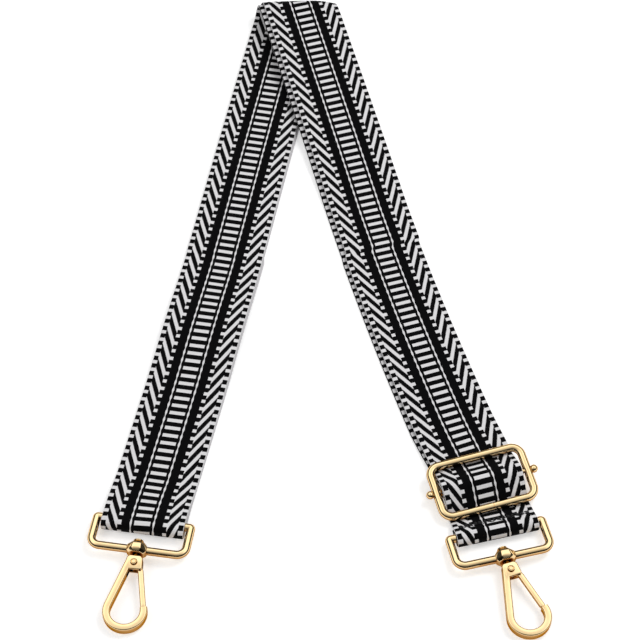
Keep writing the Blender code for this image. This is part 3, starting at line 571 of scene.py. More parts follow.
class Nodes:
    """Builds a node tree. Numbers or sockets go in, a socket comes out."""

    def __init__(self, tree):
        self.tree = tree

    def node(self, kind, inputs=(), output=0, **settings):
        made = self.tree.nodes.new(kind)
        for key, value in settings.items():
            setattr(made, key, value)
        for key, value in dict(inputs).items():
            if isinstance(value, bpy.types.NodeSocket):
                self.tree.links.new(value, made.inputs[key])
            else:
                made.inputs[key].default_value = value
        return made.outputs[output]

    def math(self, operation, *values):
        return self.node("ShaderNodeMath", enumerate(values), operation=operation)

    def both(self, *values):
        total = values[0]
        for value in values[1:]:
            total = self.math("MULTIPLY", total, value)
        return total

    def either(self, *values):
        total = values[0]
        for value in values[1:]:
            total = self.math("MAXIMUM", total, value)
        return total

    def between(self, value, low, high):
        return self.both(self.math("GREATER_THAN", value, low), self.math("LESS_THAN", value, high))

    def near(self, phase, reach):
        """1 where the phase is within reach of a whole number."""
        off = self.math("PINGPONG", phase, 0.5)
        return self.math("LESS_THAN", off, reach)

    def mix(self, share, first, second):
        inputs = {0: share, 6: first, 7: second}
        return self.node("ShaderNodeMix", inputs, output=2, data_type="RGBA")

    def noise(self, scale, detail, vector, output=0):
        inputs = {"Vector": vector, "Scale": scale, "Detail": detail}
        return self.node("ShaderNodeTexNoise", inputs, output=output)

    def split(self, vector):
        made = self.tree.nodes.new("ShaderNodeSeparateXYZ")
        self.tree.links.new(vector, made.inputs[0])
        return made.outputs

    def light_path(self):
        return self.tree.nodes.new("ShaderNodeLightPath").outputs


class Shade(Nodes):
    """One node material round a Principled BSDF."""

    def __init__(self, name, colour=(0.8, 0.8, 0.8, 1), roughness=0.5, metallic=0):
        self.material = bpy.data.materials.new(name)
        self.material.use_nodes = True
        super().__init__(self.material.node_tree)
        self.shader = self.tree.nodes["Principled BSDF"]
        self.put({"Base Color": colour, "Roughness": roughness, "Metallic": metallic})

    def put(self, values):
        for name, value in values.items():
            self.shader.inputs[name].default_value = value

    def link(self, socket, name):
        self.tree.links.new(socket, self.shader.inputs[name])

    def bump(self, height, strength, distance):
        inputs = {"Height": height, "Strength": strength, "Distance": distance}
        self.link(self.node("ShaderNodeBump", inputs), "Normal")


WHITE_YARN = (0.80, 0.79, 0.80, 1)
BLACK_YARN = (0.0026, 0.0025, 0.0029, 1)
# The reverse face's white is a greyer copy of the front's white: painted shade for the lower layer, whose edge
# shows under the upper one
REVERSE_SHADED_WHITE = (0.66, 0.65, 0.66, 1)

# Drawing of the weave, in millimetres from the middle of the strip
WEAVE_PITCH = 4.3
RUNG_EDGE = 3.65
RUNG_SHARE = 0.215
RAIL_PLACE = 5.22
CHEVRON_IN = 11.3
CHEVRON_OUT = 16.6
CHEVRON_SLOPE = 2.0
CHEVRON_SHARE = 0.44
DOT_IN = 9.5
DOT_SHARE = 0.21
SELVEDGE = 18.85
DOT_PHASE = CHEVRON_SLOPE * CHEVRON_IN / WEAVE_PITCH + 0.6
OUTER_DOT_PHASE = CHEVRON_SLOPE * CHEVRON_OUT / WEAVE_PITCH - 0.06
REVERSE_PHASE = 0.25
REVERSE_DOT_SHARE = 0.26
BORDER_IN = -15.9
BORDER_OUT = -18.7
WOBBLE = 0.20
RAIL_HALF = 0.33
RAIL_BEAD = 0.16
YARN_STEP = 0.27
RIB_PITCH = 0.54
WEFT_PITCH = 0.43


def webbing_material():
    s = Shade("jacquard_webbing", roughness=0.78)
    lay = s.node("ShaderNodeAttribute", attribute_name="lay", output=1)
    across_mm, along_mm, face = s.split(lay)
    wobble = s.math("MULTIPLY_ADD", s.noise(0.55, 2, lay), WOBBLE, -WOBBLE / 2)
    side = s.math("ABSOLUTE", across_mm)
    off = s.math("ADD", side, wobble)
    run = s.math("DIVIDE", along_mm, WEAVE_PITCH)
    phase = s.math("SUBTRACT", run, DOT_PHASE)
    rung = s.both(s.math("LESS_THAN", off, RUNG_EDGE), s.near(phase, RUNG_SHARE))
    bead = s.math("COSINE", s.math("MULTIPLY", phase, 2 * math.pi))
    rail_off = s.math("ABSOLUTE", s.math("SUBTRACT", side, RAIL_PLACE))
    rail = s.math("LESS_THAN", rail_off, s.math("MULTIPLY_ADD", bead, RAIL_BEAD, RAIL_HALF))
    stepped = s.math("SNAP", off, YARN_STEP)
    slanted = s.math("MULTIPLY_ADD", stepped, -CHEVRON_SLOPE, along_mm)
    turn = s.math("FRACT", s.math("DIVIDE", slanted, 2 * WEAVE_PITCH))
    chevron = s.both(s.math("LESS_THAN", turn, CHEVRON_SHARE), s.between(side, CHEVRON_IN, CHEVRON_OUT))
    inner_dots = s.both(s.near(phase, DOT_SHARE), s.between(off, DOT_IN, CHEVRON_IN + 0.01))
    outer_gap = s.near(s.math("SUBTRACT", run, OUTER_DOT_PHASE), 0.5 - DOT_SHARE)
    outer_dots = s.both(s.math("SUBTRACT", 1, outer_gap), s.between(side, CHEVRON_OUT, SELVEDGE))
    selvedge = s.math("GREATER_THAN", side, SELVEDGE)
    front = s.either(rung, rail, chevron, inner_dots, outer_dots, selvedge)
    rib = s.math("SINE", s.math("MULTIPLY", across_mm, 2 * math.pi / RIB_PITCH))
    weft = s.math("SINE", s.math("MULTIPLY", along_mm, 2 * math.pi / WEFT_PITCH))
    fine = s.both(rib, weft)
    # Painted shade between the yarns: the rib and weft check darkens the yarn a little; with the noise's random
    # tone it sets how far each yarn moves to its darker colour
    shade = s.math("MULTIPLY_ADD", fine, 0.04, -0.06)
    tone_and_weave_shade = s.math("ADD", s.math("MULTIPLY_ADD", s.noise(0.9, 3, lay), 0.16, shade), 0.1)
    darker = (WHITE_YARN[0] * 0.72, WHITE_YARN[1] * 0.72, WHITE_YARN[2] * 0.74, 1)
    lifted = tuple(2.5 * part for part in BLACK_YARN[:3]) + (1,)
    black = s.mix(tone_and_weave_shade, BLACK_YARN, lifted)
    face_colour = s.mix(front, black, s.mix(tone_and_weave_shade, WHITE_YARN, darker))
    border = s.math("LESS_THAN", across_mm, BORDER_IN)
    dots = s.near(s.math("ADD", run, REVERSE_PHASE), REVERSE_DOT_SHARE)
    dotted = s.both(border, s.math("GREATER_THAN", across_mm, BORDER_OUT), dots)
    plain = s.math("SUBTRACT", 1, s.both(border, s.math("SUBTRACT", 1, dotted)))
    # Painted shade: the reverse face takes the greyer white
    back_colour = s.mix(plain, black, s.mix(tone_and_weave_shade, REVERSE_SHADED_WHITE, darker))
    is_front = s.math("GREATER_THAN", face, 0)
    s.link(s.mix(is_front, back_colour, face_colour), "Base Color")
    relief = s.math("MULTIPLY_ADD", fine, 0.35, s.math("MULTIPLY", rib, 0.2))
    s.bump(s.math("MULTIPLY_ADD", front, 0.6, relief), 0.5, 0.00012)
    s.put({"Sheen Weight": 0.015, "Sheen Roughness": 0.4, "Specular IOR Level": 0.04})
    return s.material


# Share of the deep brown painted shade on the gold's flanks, by how far a gold surface faces up or down
PAINTED_FLANK_SHADE = {1: 0.12, 2: 0.62, 3: 0.85, 4: 0.0}


def gold_material():
    s = Shade("polished_gold_plate", (0.93, 0.66, 0.30, 1), 0.14, 1)
    place = s.node("ShaderNodeTexCoord", output=3)
    s.link(s.math("MULTIPLY_ADD", s.noise(90, 4, place), 0.09, 0.04), "Roughness")
    warm, pale, shade_brown = (0.87, 0.62, 0.31, 1), (0.92, 0.72, 0.42, 1), (0.40, 0.19, 0.065, 1)
    s.put({"Specular Tint": (0.62, 0.38, 0.17, 1)})
    # Painted shade: surfaces that face sideways get the deep brown, standing in for the shade and dark
    # reflections on the flanks
    upward = s.math("ABSOLUTE", s.split(s.node("ShaderNodeTexCoord", output=1))[2])
    flank_shade = s.node("ShaderNodeMapRange", {0: upward, **PAINTED_FLANK_SHADE}, interpolation_type="SMOOTHSTEP")
    plate = s.mix(s.noise(260, 2, place), warm, pale)
    s.link(s.mix(flank_shade, plate, shade_brown), "Base Color")
    s.bump(s.noise(420, 2, place), 0.05, 0.0002)
    return s.material


def steel_material():
    s = Shade("spring_steel", (0.55, 0.54, 0.52, 1), 0.3, 1)
    place = s.node("ShaderNodeTexCoord", output=3)
    s.link(s.math("MULTIPLY_ADD", s.noise(900, 3, place), 0.25, 0.2), "Roughness")
    return s.material


def thread_material():
    s = Shade("black_thread", BLACK_YARN, 0.6)
    lay = s.node("ShaderNodeAttribute", attribute_name="lay", output=1)
    twist = s.node("ShaderNodeTexWave", {"Vector": lay, "Scale": 4.2, "Distortion": 0.6}, output=1)
    s.link(s.mix(twist, BLACK_YARN, (0.03, 0.03, 0.034, 1)), "Base Color")
    s.bump(twist, 0.6, 0.00008)
    return s.material


# Hardware, each piece in its own frame: X across the strap, -Y outwards along it, Z up

def tube(path, sections, closed):
    """Rings of points round a flat path: sections(i, share) gives (across, up) pairs for ring i."""
    spots = [Vector(spot) for spot in path]
    count, rings = len(spots), []
    for i, spot in enumerate(spots):
        before = spots[i - 1] if closed or i else spots[0]
        after = spots[(i + 1) % count] if closed or i + 1 < count else spots[-1]
        way = (after - before).normalized()
        out = Vector((way.y, -way.x))
        corner = 1.0
        if (closed or 0 < i < count - 1) and (spot - before).length and (after - spot).length:
            half = (spot - before).normalized().dot(way)
            corner = 1 / max(half, 0.5)
        ring = []
        for a, z in sections(i, i / max(1, count - 1)):
            side = spot + out * a * corner
            ring.append(Vector((side.x, side.y, z)))
        rings.append(ring)
    return rings


def oval(half_width, half_depth, power=1.0, size=1.0):
    spots = []
    for i in range(WIRE_SIDES):
        turn = 2 * math.pi * i / WIRE_SIDES
        c, s = math.cos(turn), math.sin(turn)
        c = math.copysign(abs(c) ** power, c)
        s = math.copysign(abs(s) ** power, s)
        spots.append((half_width * c * size, half_depth * s * size))
    return spots


def skin(rings, closed):
    verts = [spot for ring in rings for spot in ring]
    sides, faces = len(rings[0]), []
    for i in range(len(rings) if closed else len(rings) - 1):
        after = (i + 1) % len(rings)
        for j in range(sides):
            k = (j + 1) % sides
            faces.append((i * sides + j, i * sides + k, after * sides + k, after * sides + j))
    if not closed:
        faces.append(tuple(range(sides)))
        faces.append(tuple(reversed(range((len(rings) - 1) * sides, len(rings) * sides))))
    return verts, faces


def shaped(name, verts, faces, angle, weld=False, lay=None):
    """A mesh with outward normals, smooth up to the angle, and with the lay attribute if one is given."""
    mesh = bpy.data.meshes.new(name)
    mesh.from_pydata([tuple(v) for v in verts], [], faces)
    if lay:
        attribute = mesh.attributes.new("lay", "FLOAT_VECTOR", "POINT")
        attribute.data.foreach_set("vector", [part for spot in lay for part in spot])
    work = bmesh.new()
    work.from_mesh(mesh)
    if weld:
        bmesh.ops.remove_doubles(work, verts=work.verts, dist=1e-7)
    bmesh.ops.recalc_face_normals(work, faces=work.faces)
    work.to_mesh(mesh)
    work.free()
    mesh.shade_smooth()
    mesh.set_sharp_from_angle(angle=math.radians(angle))
    return mesh


def solid(name, verts, faces, frame_matrix, finish, smooth=35):
    made = new_object(name, shaped(name, verts, faces, smooth, weld=True), finish)
    made.matrix_world = frame_matrix
    return made


def solid_with_lay(name, verts, faces, lay, finish):
    return new_object(name, shaped(name, verts, faces, 50, lay=lay), finish)


def domed(path, half_width, half_depth, power=1.0, start=True, end=True):
    """An open bar along a flat path whose ends are rounded off."""
    path = [Vector(spot) for spot in path]
    steps = (0.25, 0.5, 0.72, 0.88, 0.97)
    dome = [math.sqrt(1 - t * t) for t in steps]
    sizes = [1.0] * len(path)
    if start:
        way = (path[0] - path[1]).normalized() * half_width
        path = [path[0] + way * t for t in reversed(steps)] + path
        sizes = dome[::-1] + sizes
    if end:
        way = (path[-1] - path[-2]).normalized() * half_width
        path += [path[-1] + way * t for t in steps]
        sizes += dome
    return skin(tube(path, lambda i, _: oval(half_width, half_depth, power, sizes[i]), False), False)


def turned(profile, axis, start=(0, 0, 0)):
    """A lathe form: profile holds (distance along the axis, radius)."""
    start = Vector(start)
    first = axis.orthogonal().normalized()
    second = axis.cross(first)
    turns = [2 * math.pi * i / WIRE_SIDES for i in range(WIRE_SIDES)]
    rings = []
    for along, radius in profile:
        centre, radius = start + axis * along, max(radius, AXIS_RADIUS)
        rings.append([centre + (first * math.cos(t) + second * math.sin(t)) * radius for t in turns])
    return skin(rings, False)


def rounded_profile(points, radius):
    """The profile with each corner that isn't on the axis rounded off."""
    rounded = [points[0]]
    for before, spot, after in zip(points, points[1:], points[2:]):
        a, b, c = Vector(before), Vector(spot), Vector(after)
        reach = min(radius, (a - b).length / 2, (c - b).length / 2)
        p, q = b + (a - b).normalized() * reach, b + (c - b).normalized() * reach
        for t in (0, 0.25, 0.5, 0.75, 1):
            rounded.append(tuple(p * (1 - t) ** 2 + b * 2 * t * (1 - t) + q * t * t))
    return rounded + [points[-1]]


def apply_modifier(target, angle):
    bpy.context.view_layer.update()
    graph = bpy.context.evaluated_depsgraph_get()
    mesh = bpy.data.meshes.new_from_object(target.evaluated_get(graph))
    target.modifiers.clear()
    target.data = mesh
    mesh.shade_smooth()
    mesh.set_sharp_from_angle(angle=math.radians(angle))


def carve(target, cutter, operation="DIFFERENCE"):
    modifier = target.modifiers.new("carve", "BOOLEAN")
    modifier.operation, modifier.object, modifier.solver = operation, cutter, "EXACT"
    apply_modifier(target, 35)
    bpy.data.objects.remove(cutter)


def drill(target, place, radius, low, high, axis, start=(0, 0, 0)):
    cutter = turned([(low, radius), (high, radius)], axis, start)
    carve(target, solid("drill", *cutter, place, None))


def soften(target, width, segments=3, angle=40):
    modifier = target.modifiers.new("soften", "BEVEL")
    modifier.width, modifier.segments, modifier.limit_method = width, segments, "ANGLE"
    modifier.angle_limit = math.radians(angle)
    modifier.harden_normals = False
    apply_modifier(target, 30)


def prism(outline, low, high):
    """A flat outline carried from z low to z high."""
    count = len(outline)
    verts = [Vector((x, y, z)) for z in (low, high) for x, y in outline]
    faces = [tuple(reversed(range(count))), tuple(range(count, 2 * count))]
    for i in range(count):
        k = (i + 1) % count
        faces.append((i, k, count + k, count + i))
    return verts, faces


def block(low, high):
    outline = ((low[0], low[1]), (high[0], low[1]), (high[0], high[1]), (low[0], high[1]))
    return prism(outline, low[2], high[2])


def ring_frame(side):
    heading = heading_at(side, RING_DISTANCE[side])
    place = leg_point(side, RING_DISTANCE[side], RING_PLAY[side], BAR_HEIGHT) + STRAP_PLACE
    pitch = -math.asin((BOSS_CENTRE_HEIGHT - BAR_HEIGHT) / RING_REACH)
    turn = Euler((pitch, 0, SIDES[side] * heading)).to_matrix().to_4x4()
    return Matrix.Translation(place) @ turn, pitch, SIDES[side] * heading


def hook_frame(side):
    ring, pitch, turn = ring_frame(side)
    lift = math.asin((BOSS_CENTRE_HEIGHT - TIP_HEIGHT) / HOOK_REACH) - pitch
    lean = Euler((lift, 0, SIDES[side] * HOOK_HEADINGS[side] - turn)).to_matrix().to_4x4()
    return ring @ Matrix.Translation((0, -RING_REACH, 0)) @ lean


def corner_arc(index, x, y, radius, step=math.radians(6)):
    """A quarter of a rounded frame, clockwise: index 0 is its upper right corner."""
    return arc((x, y), radius, (1 - index) * QUARTER, -index * QUARTER, step)


def ring_path(half_width, reach, top, low):
    path = corner_arc(0, half_width - top, -top, top)
    path += corner_arc(1, half_width - low, -reach + low, low)
    path += corner_arc(2, -half_width + low, -reach + low, low)
    return path + corner_arc(3, -half_width + top, -top, top)


def dress(made, body, slot_name, *nodes):
    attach(made, body)
    if nodes:
        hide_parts(*nodes)
    return made


def make_ring(side, gold):
    place, _, _ = ring_frame(side)
    path = ring_path(RING_INNER_WIDTH / 2 + RING_WIRE, RING_REACH, RING_TOP_CORNER, RING_LOW_CORNER)
    rings = tube(path, lambda i, _: oval(RING_WIRE, RING_WIRE), True)
    ring = solid(f"{side}_ring_wire", *skin(rings, True), place, gold)
    profile = [(-BOSS_FOOT, 0), (-BOSS_FOOT, BOSS_FOOT_RADIUS), (-BOSS_LOW_SHOULDER, BOSS_RADIUS)]
    profile += [(BOSS_HIGH_SHOULDER, BOSS_RADIUS), (BOSS_CROWN, BOSS_CROWN_RADIUS), (BOSS_CROWN, 0)]
    turns = [2 * math.pi * (i + 0.5) / BOSS_SIDES for i in range(BOSS_SIDES)]
    rings = []
    for along, radius in profile:
        radius = max(radius, AXIS_RADIUS)
        rings.append([Vector((radius * math.sin(t), along - RING_REACH, radius * math.cos(t))) for t in turns])
    boss = solid(f"{side}_boss_blank", *skin(rings, False), place, gold)
    soften(boss, 0.00035, 2, 20)
    carve(ring, boss, "UNION")
    drill(ring, hook_frame(side), POST_RADIUS + RUNNING_GAP, -0.008, 0.008, Y)
    return dress(ring, f"{side}_ring", "gold_plate", f"{side}_ring")


def head_top():
    return BOSS_FOOT + HEAD_GAP


def bow_path(step=math.radians(5)):
    start = Vector((-HEAD_WIDTH / 2 + BOW_WIDTH / 2, -head_top() - HEAD_LENGTH / 2))
    centre = Vector((0, -HOOK_REACH))
    span = centre - start
    lean = math.acos(BOW_RADIUS / span.length)
    meet = math.atan2(-span.y, -span.x) + lean
    round_part = arc(centre, BOW_RADIUS, meet, 2 * math.pi + NOSE_ANGLE, step)
    first = Vector(round_part[0])
    return [tuple(start.lerp(first, i / 8)) for i in range(8)] + round_part


def pivot_place():
    return Vector((0, -head_top() - PIVOT_DROP, 0))


def gate_tip():
    angle = NOSE_ANGLE + GATE_TIP_SHARE * (BOW_WIDTH + GATE_WIDTH) / 2 / BOW_RADIUS
    return Vector((BOW_RADIUS * math.cos(angle), -HOOK_REACH + BOW_RADIUS * math.sin(angle), 0))


def head_outline():
    """Flat-topped head with round shoulders, a little wider below than above."""
    x, y = HEAD_WIDTH / 2 - HEAD_SHOULDER - HEAD_WAIST, -head_top() - HEAD_SHOULDER
    low_x, low_y = HEAD_WIDTH / 2 - HEAD_CORNER, -head_top() - HEAD_LENGTH + HEAD_CORNER
    fine, coarse = math.radians(12), math.radians(18)
    outline = corner_arc(0, x, y, HEAD_SHOULDER, fine) + corner_arc(1, low_x, low_y, HEAD_CORNER, coarse)
    outline += corner_arc(2, -low_x, low_y, HEAD_CORNER, coarse)
    return outline + corner_arc(3, -x, y, HEAD_SHOULDER, fine)


def make_hook(side, gold):
    place = hook_frame(side)
    bow = domed(bow_path(), BOW_WIDTH / 2, BOW_THICKNESS / 2, BOW_SQUARENESS, True, False)
    body = solid(f"{side}_hook_casting", *bow, place, gold)
    half = BOW_THICKNESS / 2
    head = solid(f"{side}_head_blank", *prism(head_outline(), -half, half), place, gold)
    soften(head, 0.0006, 3)
    carve(body, head, "UNION")
    top, wide = head_top(), HEAD_WIDTH / 2
    slot_half = GATE_DEPTH / 2 + RUNNING_GAP
    low = (-wide + SLOT_WALL, -top - HEAD_LENGTH - 0.003, -slot_half)
    cutter = solid("slot", *block(low, (wide + 0.003, -top - SLOT_ROOF, slot_half)), place, None)
    carve(body, cutter)
    drill(body, place, POST_RADIUS + RUNNING_GAP, -top - SLOT_ROOF - RUNNING_GAP, -top + 0.003, Y)
    drill(body, place, CLEAR_BORE, -0.005, 0.005, Z, pivot_place())
    return dress(body, f"{side}_hook", "gold_plate", f"{side}_hook_body")


def make_post(side, gold):
    top = head_top()
    above = BOSS_CROWN + RUNNING_GAP
    inside = -top - SLOT_ROOF + RUNNING_GAP
    profile = [(inside, 0), (inside, POST_RADIUS), (-top, POST_RADIUS), (above, POST_RADIUS)]
    crown = above + POST_HEAD_SHARE * POST_HEAD_HEIGHT
    profile += [(above, POST_HEAD_RADIUS), (crown, POST_HEAD_RADIUS), (crown, 0)]
    form = turned(rounded_profile(profile, POST_ROUNDING), Y)
    post = solid(f"{side}_swivel_rivet", *form, hook_frame(side), gold)
    return dress(post, f"{side}_hook", "gold_plate", f"{side}_swivel_post")


def make_gate(side, gold):
    place = hook_frame(side) @ Matrix.Translation(pivot_place())
    tip = gate_tip() - pivot_place()
    elbow = Vector((GATE_ELBOW_SIDE, -GATE_ELBOW_DROP, 0))
    straight = [elbow.lerp(tip, share) for share in (0.12, 0.3, 0.5, 0.7, 0.85, 0.95, 1)]
    path = [0.02 * elbow, 0.6 * elbow, elbow.lerp(0.9 * elbow, 0.5), elbow.lerp(tip, 0.03)] + straight
    path = [(spot.x, spot.y) for spot in path]
    arm = domed(path, GATE_WIDTH / 2, GATE_DEPTH / 2, GATE_SQUARENESS, False, True)
    gate = solid(f"{side}_gate_arm", *arm, place, gold)
    half = GATE_DEPTH / 2
    profile = [(-half, 0), (-half, GATE_EYE_RADIUS), (half, GATE_EYE_RADIUS), (half, 0)]
    eye = turned(rounded_profile(profile, PIN_ROUNDING), Z)
    carve(gate, solid("eye", *eye, place, gold), "UNION")
    drill(gate, place, CLEAR_BORE, -0.004, 0.004, Z)
    return dress(gate, f"{side}_gate", "gold_plate", f"{side}_gate")


def make_pin(side, gold):
    half = BOW_THICKNESS / 2
    rise, foot = half + PIN_HEAD_STANDOFF + PIN_HEAD_HEIGHT, half + PIN_REST
    groove = PIN_HEAD_RADIUS * GROOVE_SHARE
    upper = [(rise, 0), (rise, groove - GROOVE_WIDTH), (rise - GROOVE_WIDTH, groove)]
    upper.append((rise, groove + GROOVE_WIDTH))
    upper += [(rise, PIN_HEAD_RADIUS - PIN_ROUNDING), (rise - PIN_ROUNDING, PIN_HEAD_RADIUS)]
    upper += [(foot, PIN_HEAD_RADIUS), (foot, PIN_SHAFT_RADIUS)]
    lower = [(-along, radius) for along, radius in reversed(upper)]
    form = turned(upper + lower, Z, pivot_place())
    pin = solid(f"{side}_gate_rivet", *form, hook_frame(side), gold)
    return dress(pin, f"{side}_hook", "gold_plate", f"{side}_gate_pin")


def make_spring(side, steel):
    pivot = pivot_place()
    top = -head_top() - SLOT_ROOF - 2 * SPRING_WIRE
    edge = pivot.x - SPRING_SIDE
    path = [(edge, top), (edge, pivot.y), (edge, pivot.y - SPRING_FOOT)]
    path.append((pivot.x + SPRING_TOE, pivot.y - SPRING_SIDE))
    wire = domed(path, SPRING_WIRE, SPRING_WIRE)
    spring = solid(f"{side}_return_spring", *wire, hook_frame(side), steel)
    return dress(spring, f"{side}_hook", "spring_steel", f"{side}_gate_spring")


def slider_place():
    place = leg_point("right", RIGHT_LEG, SLIDER_PLAY, SLIDER_HEIGHT) + STRAP_PLACE
    lean = Euler((SLIDER_TILT, 0, heading_at("right", RIGHT_LEG)))
    return Matrix.Translation(place) @ lean.to_matrix().to_4x4()


def ball_profile(side):
    turns = [BALL_TURN * i / BALL_STEPS for i in range(BALL_STEPS + 1)]
    return [(side * (SLIDER_BALL_CENTRE + SLIDER_BALL * math.cos(t)), SLIDER_BALL * math.sin(t)) for t in turns]


def make_slider(gold):
    place = slider_place()
    half, pitch = SLIDER_INNER_WIDTH / 2 + SLIDER_WIRE, SLIDER_PITCH
    x, y = half - SLIDER_CORNER, pitch - SLIDER_CORNER
    path = corner_arc(0, x, y, SLIDER_CORNER) + [(half, 0)] + corner_arc(1, x, -y, SLIDER_CORNER)
    seam = len(path) + 2
    path += [(SEAM_PLACE + t, -pitch) for t in (0.0003, 0.00012, 0, -0.00012, -0.0003)]
    path += corner_arc(2, -x, -y, SLIDER_CORNER) + [(-half, 0)] + corner_arc(3, -x, y, SLIDER_CORNER)

    def section(i, _):
        return oval(SLIDER_WIRE, SLIDER_WIRE, size=0.9 if i == seam else 1)

    frame_wire = solid("slider_frame_wire", *skin(tube(path, section, True), True), place, gold, 25)
    reach = half + SLIDER_WIRE + 0.003
    drill(frame_wire, place, CLEAR_BORE, -reach, reach, X)
    dress(frame_wire, "slider_frame", "gold_plate", "slider_frame")
    shoulder = SLIDER_INNER_WIDTH / 2 - RUNNING_GAP
    profile = ball_profile(-1) + [(-shoulder, SLIDER_PIN_RADIUS), (-shoulder, SLIDER_BAR_RADIUS)]
    profile += [(shoulder, SLIDER_BAR_RADIUS), (shoulder, SLIDER_PIN_RADIUS)]
    profile += [(SLIDER_BALL_CENTRE, SLIDER_PIN_RADIUS), (SLIDER_BALL_CENTRE, 0)]
    bar = solid("slider_centre_bar", *turned(profile, X), place, gold)
    dress(bar, "slider", "gold_plate", "slider_bar")
    cap = ball_profile(1) + [(SLIDER_BALL_CENTRE, SLIDER_PIN_RADIUS + PIN_ROUNDING)]
    ball_end = solid("slider_end_ball", *turned(cap, X), place, gold)
    dress(ball_end, "slider", "gold_plate", "slider_bar_cap")


def make_seam(name, d, z, slope, shift, face, thread, body, node):
    """Zigzag stitches across the strip, each a short arched thread whose ends sink into the weave."""
    reach = WEBBING_WIDTH / 2 - SEAM_MARGIN
    count = round(2 * reach / STITCH_PITCH)
    along = leg_direction("right", heading_at("right", RIGHT_LEG + d)).to_3d()
    turns = [2 * math.pi * j / THREAD_SIDES for j in range(THREAD_SIDES)]
    verts, faces, lay = [], [], []
    for i, offset in [(i, offset) for offset in SEAM_ROWS for i in range(count)]:
        ends = []
        for k in (i, i + 1):
            ends.append((-reach + 2 * reach * k / count + shift, offset + STITCH_SWING * (1 if k % 2 else -1)))
        (u0, v0), (u1, v1) = ends
        rings = []
        for step in range(11):
            t = step / 10
            u, v = u0 + (u1 - u0) * (0.04 + 0.92 * t), v0 + (v1 - v0) * t
            arch = math.sin(math.pi * t) ** 0.6
            lift = face * (HALF - STITCH_SINK + STITCH_LIFT * arch)
            run = v * math.cos(slope) - lift * math.sin(slope)
            rise = v * math.sin(slope) + lift * math.cos(slope)
            centre = leg_point("right", RIGHT_LEG + d + run, u, z + rise) + STRAP_PLACE
            radius = STITCH_RADIUS * (0.75 + 0.25 * arch)
            rings.append([centre + (along * math.cos(turn) + Z * math.sin(turn)) * radius for turn in turns])
            lay += [(u / MILLIMETRE, step + j / THREAD_SIDES, 0) for j in range(THREAD_SIDES)]
        made, made_faces = skin(rings, False)
        base = len(verts)
        verts += made
        faces += [tuple(base + v for v in f) for f in made_faces]
    seam = solid_with_lay(name, verts, faces, lay, thread)
    return dress(seam, body, "thread", node)


def make_webbing(weave):
    rows, marks = webbing_route()
    whole = Strip(rows)
    crest = sum(marks["hump"]) // 2
    bottom, top = marks["bottom_bar"], marks["top_bar"]
    main_split, return_split, wrap_split = (marks[key] for key in ("main_split", "return_split", "wrap_split"))
    end = Strip(rows[:bottom + 1] + under_run(rows, marks), bottom)
    pieces = [
        dress(end.piece("webbing_ring_end", 0, len(end.rows) - 1, weave), "strap", "webbing", "webbing"),
        dress(whole.piece("webbing_folded_run", main_split, return_split, weave), "strap", "webbing"),
        dress(whole.piece("webbing_slider_wrap", wrap_split, len(rows) - 1, weave), "slider", "webbing"),
    ]
    for name, first, last, fixed in (
        ("webbing_right_front", top, main_split, main_split),
        ("webbing_right_back", return_split, wrap_split, return_split),
    ):
        stretch = dress(whole.piece(name, first, last, weave), "strap", "webbing")
        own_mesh(stretch)
        pieces.append(stretch)
    for name, first, last, held in (
        ("webbing_hump_lower", bottom, crest, bottom),
        ("webbing_hump_upper", crest, top, top),
    ):
        hump = whole.piece(name, first, last, weave)
        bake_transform(hump)
        pieces.append(hump)
    return pieces


def run_line(first, second, d):
    """Where the straight run between two circles is at d, and its slope."""
    start, end = tangent(first, second)
    slope = math.atan2((end - start).y, (end - start).x)
    return d, start.y + (d - start.x) * math.tan(slope), slope


def make_seams(thread):
    low, middle, _ = slider_circles()
    ring = (SLIDER_TO_RING + LOOP_SLACK["right"], BAR_HEIGHT, LOOP_RADIUS, -1)
    line = run_line((*low, PASS_RADIUS, 1), ring, SLIDER_TO_RING - RING_SEAM)
    make_seam("seam_at_ring", *line, 0, 1, thread, "strap", "ring_end_stitching")
    line = run_line((-SLIDER_PITCH - RUN_IN, HALF, 0, 1), (*middle, WRAP_RADIUS, 1), -SLIDER_SEAM)
    shift = RETURN_SHIFT * SLIDER_SEAM / (SLIDER_PITCH + RUN_IN)
    make_seam("seam_at_slider", *line, shift, -1, thread, "slider", "slider_end_stitching")


def plain_stage():
    mesh = bpy.data.meshes.new("studio_floor")
    corners = [(-1, -1), (1, -1), (1, 1), (-1, 1)]
    mesh.from_pydata([(FLOOR_REACH * x, FLOOR_REACH * y, -FLOOR_DROP) for x, y in corners], [], [(0, 1, 2, 3)])
    s = Shade("pale_floor", (0.86, 0.86, 0.86, 1), 0.9)
    s.put({"Specular IOR Level": 0.0, "Emission Color": (1, 1, 1, 1)})
    path = s.light_path()
    seen = s.either(path["Is Camera Ray"], path["Is Glossy Ray"], path["Is Transmission Ray"])
    s.link(s.math("MULTIPLY", seen, 0.42), "Emission Strength")
    new_object("studio_floor", mesh, s.material)


def add_area(name, place, size, power):
    lamp = bpy.data.lights.new(name, "AREA")
    lamp.shape, lamp.size, lamp.size_y, lamp.energy = "RECTANGLE", size, size, power
    holder = bpy.data.objects.new(name, lamp)
    bpy.context.scene.collection.objects.link(holder)
    holder.location = place
    holder.visible_glossy = False
    holder.rotation_euler = (LAMP_TARGET - Vector(place)).to_track_quat("-Z", "Y").to_euler()


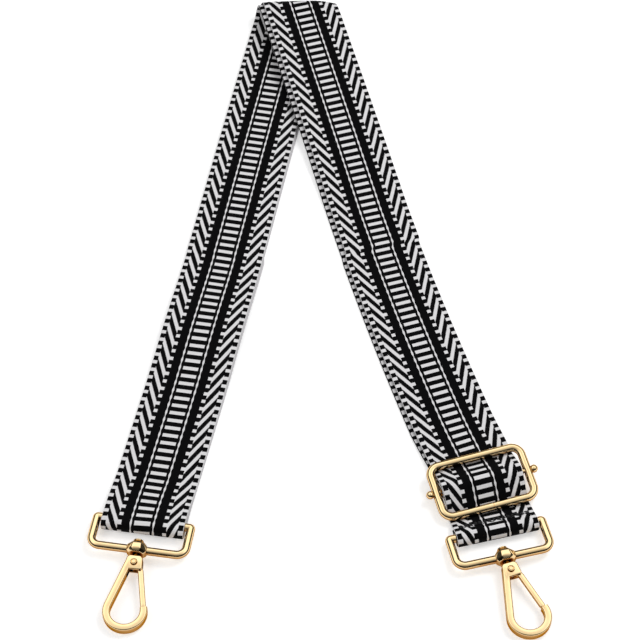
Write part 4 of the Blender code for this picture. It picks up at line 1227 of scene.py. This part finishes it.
def studio_world():
    """Grey light, white to the camera. Gloss sees a gradient, dark low down and on the front side."""
    world = bpy.data.worlds.new("studio_world")
    bpy.context.scene.world = world
    world.use_nodes = True
    w = Nodes(world.node_tree)
    path = w.light_path()
    way = w.split(w.node("ShaderNodeTexCoord"))
    level = w.node("ShaderNodeValToRGB", {0: way[2]})
    ramp = w.tree.nodes[-1].color_ramp
    ramp.elements[0].position, ramp.elements[1].position = GLOSS_STOPS[0][0], GLOSS_STOPS[-1][0]
    for spot, _ in GLOSS_STOPS[1:-1]:
        ramp.elements.new(spot)
    for element, (_, grey) in zip(ramp.elements, GLOSS_STOPS):
        element.color = (grey, grey, grey, 1)
    front = w.node("ShaderNodeMapRange", {0: way[1], **GLOSS_FRONT})
    gloss = w.node("ShaderNodeVectorMath", {0: level, "Scale": front}, operation="SCALE")
    lit = w.mix(path["Is Glossy Ray"], (0.52, 0.52, 0.52, 1), gloss)
    seen = w.either(path["Is Camera Ray"], path["Is Transmission Ray"])
    w.tree.links.new(w.mix(seen, lit, (1, 1, 1, 1)), w.tree.nodes["Background"].inputs[0])


def studio():
    scene = bpy.context.scene
    studio_world()
    add_area("key_light", (0.55, 0.25, 0.85), 0.5, 4.4)
    add_area("fill_light", (-0.7, -0.2, 0.6), 0.6, 1.6)
    camera = bpy.data.cameras.new("photo_camera")
    camera.lens, camera.sensor_width = LENS, SENSOR
    camera.clip_start, camera.clip_end = 0.05, 20
    holder = bpy.data.objects.new("photo_camera", camera)
    scene.collection.objects.link(holder)
    back = Vector((0, -math.cos(VIEW_ELEVATION), math.sin(VIEW_ELEVATION)))
    holder.location = VIEW_TARGET + back * VIEW_DISTANCE
    level = back.to_track_quat("Z", "Y").to_matrix()
    holder.rotation_euler = (level @ Matrix.Rotation(-VIEW_ROLL, 3, "Z")).to_euler()
    scene.camera = holder
    scene.view_settings.view_transform = "Standard"


WEAVE = webbing_material()
GOLD = gold_material()
STEEL = steel_material()
THREAD = thread_material()
make_webbing(WEAVE)
make_seams(THREAD)
for hand in SIDES:
    make_ring(hand, GOLD)
    make_hook(hand, GOLD)
    make_post(hand, GOLD)
    make_gate(hand, GOLD)
    make_pin(hand, GOLD)
    make_spring(hand, STEEL)
make_slider(GOLD)
plain_stage()
studio()
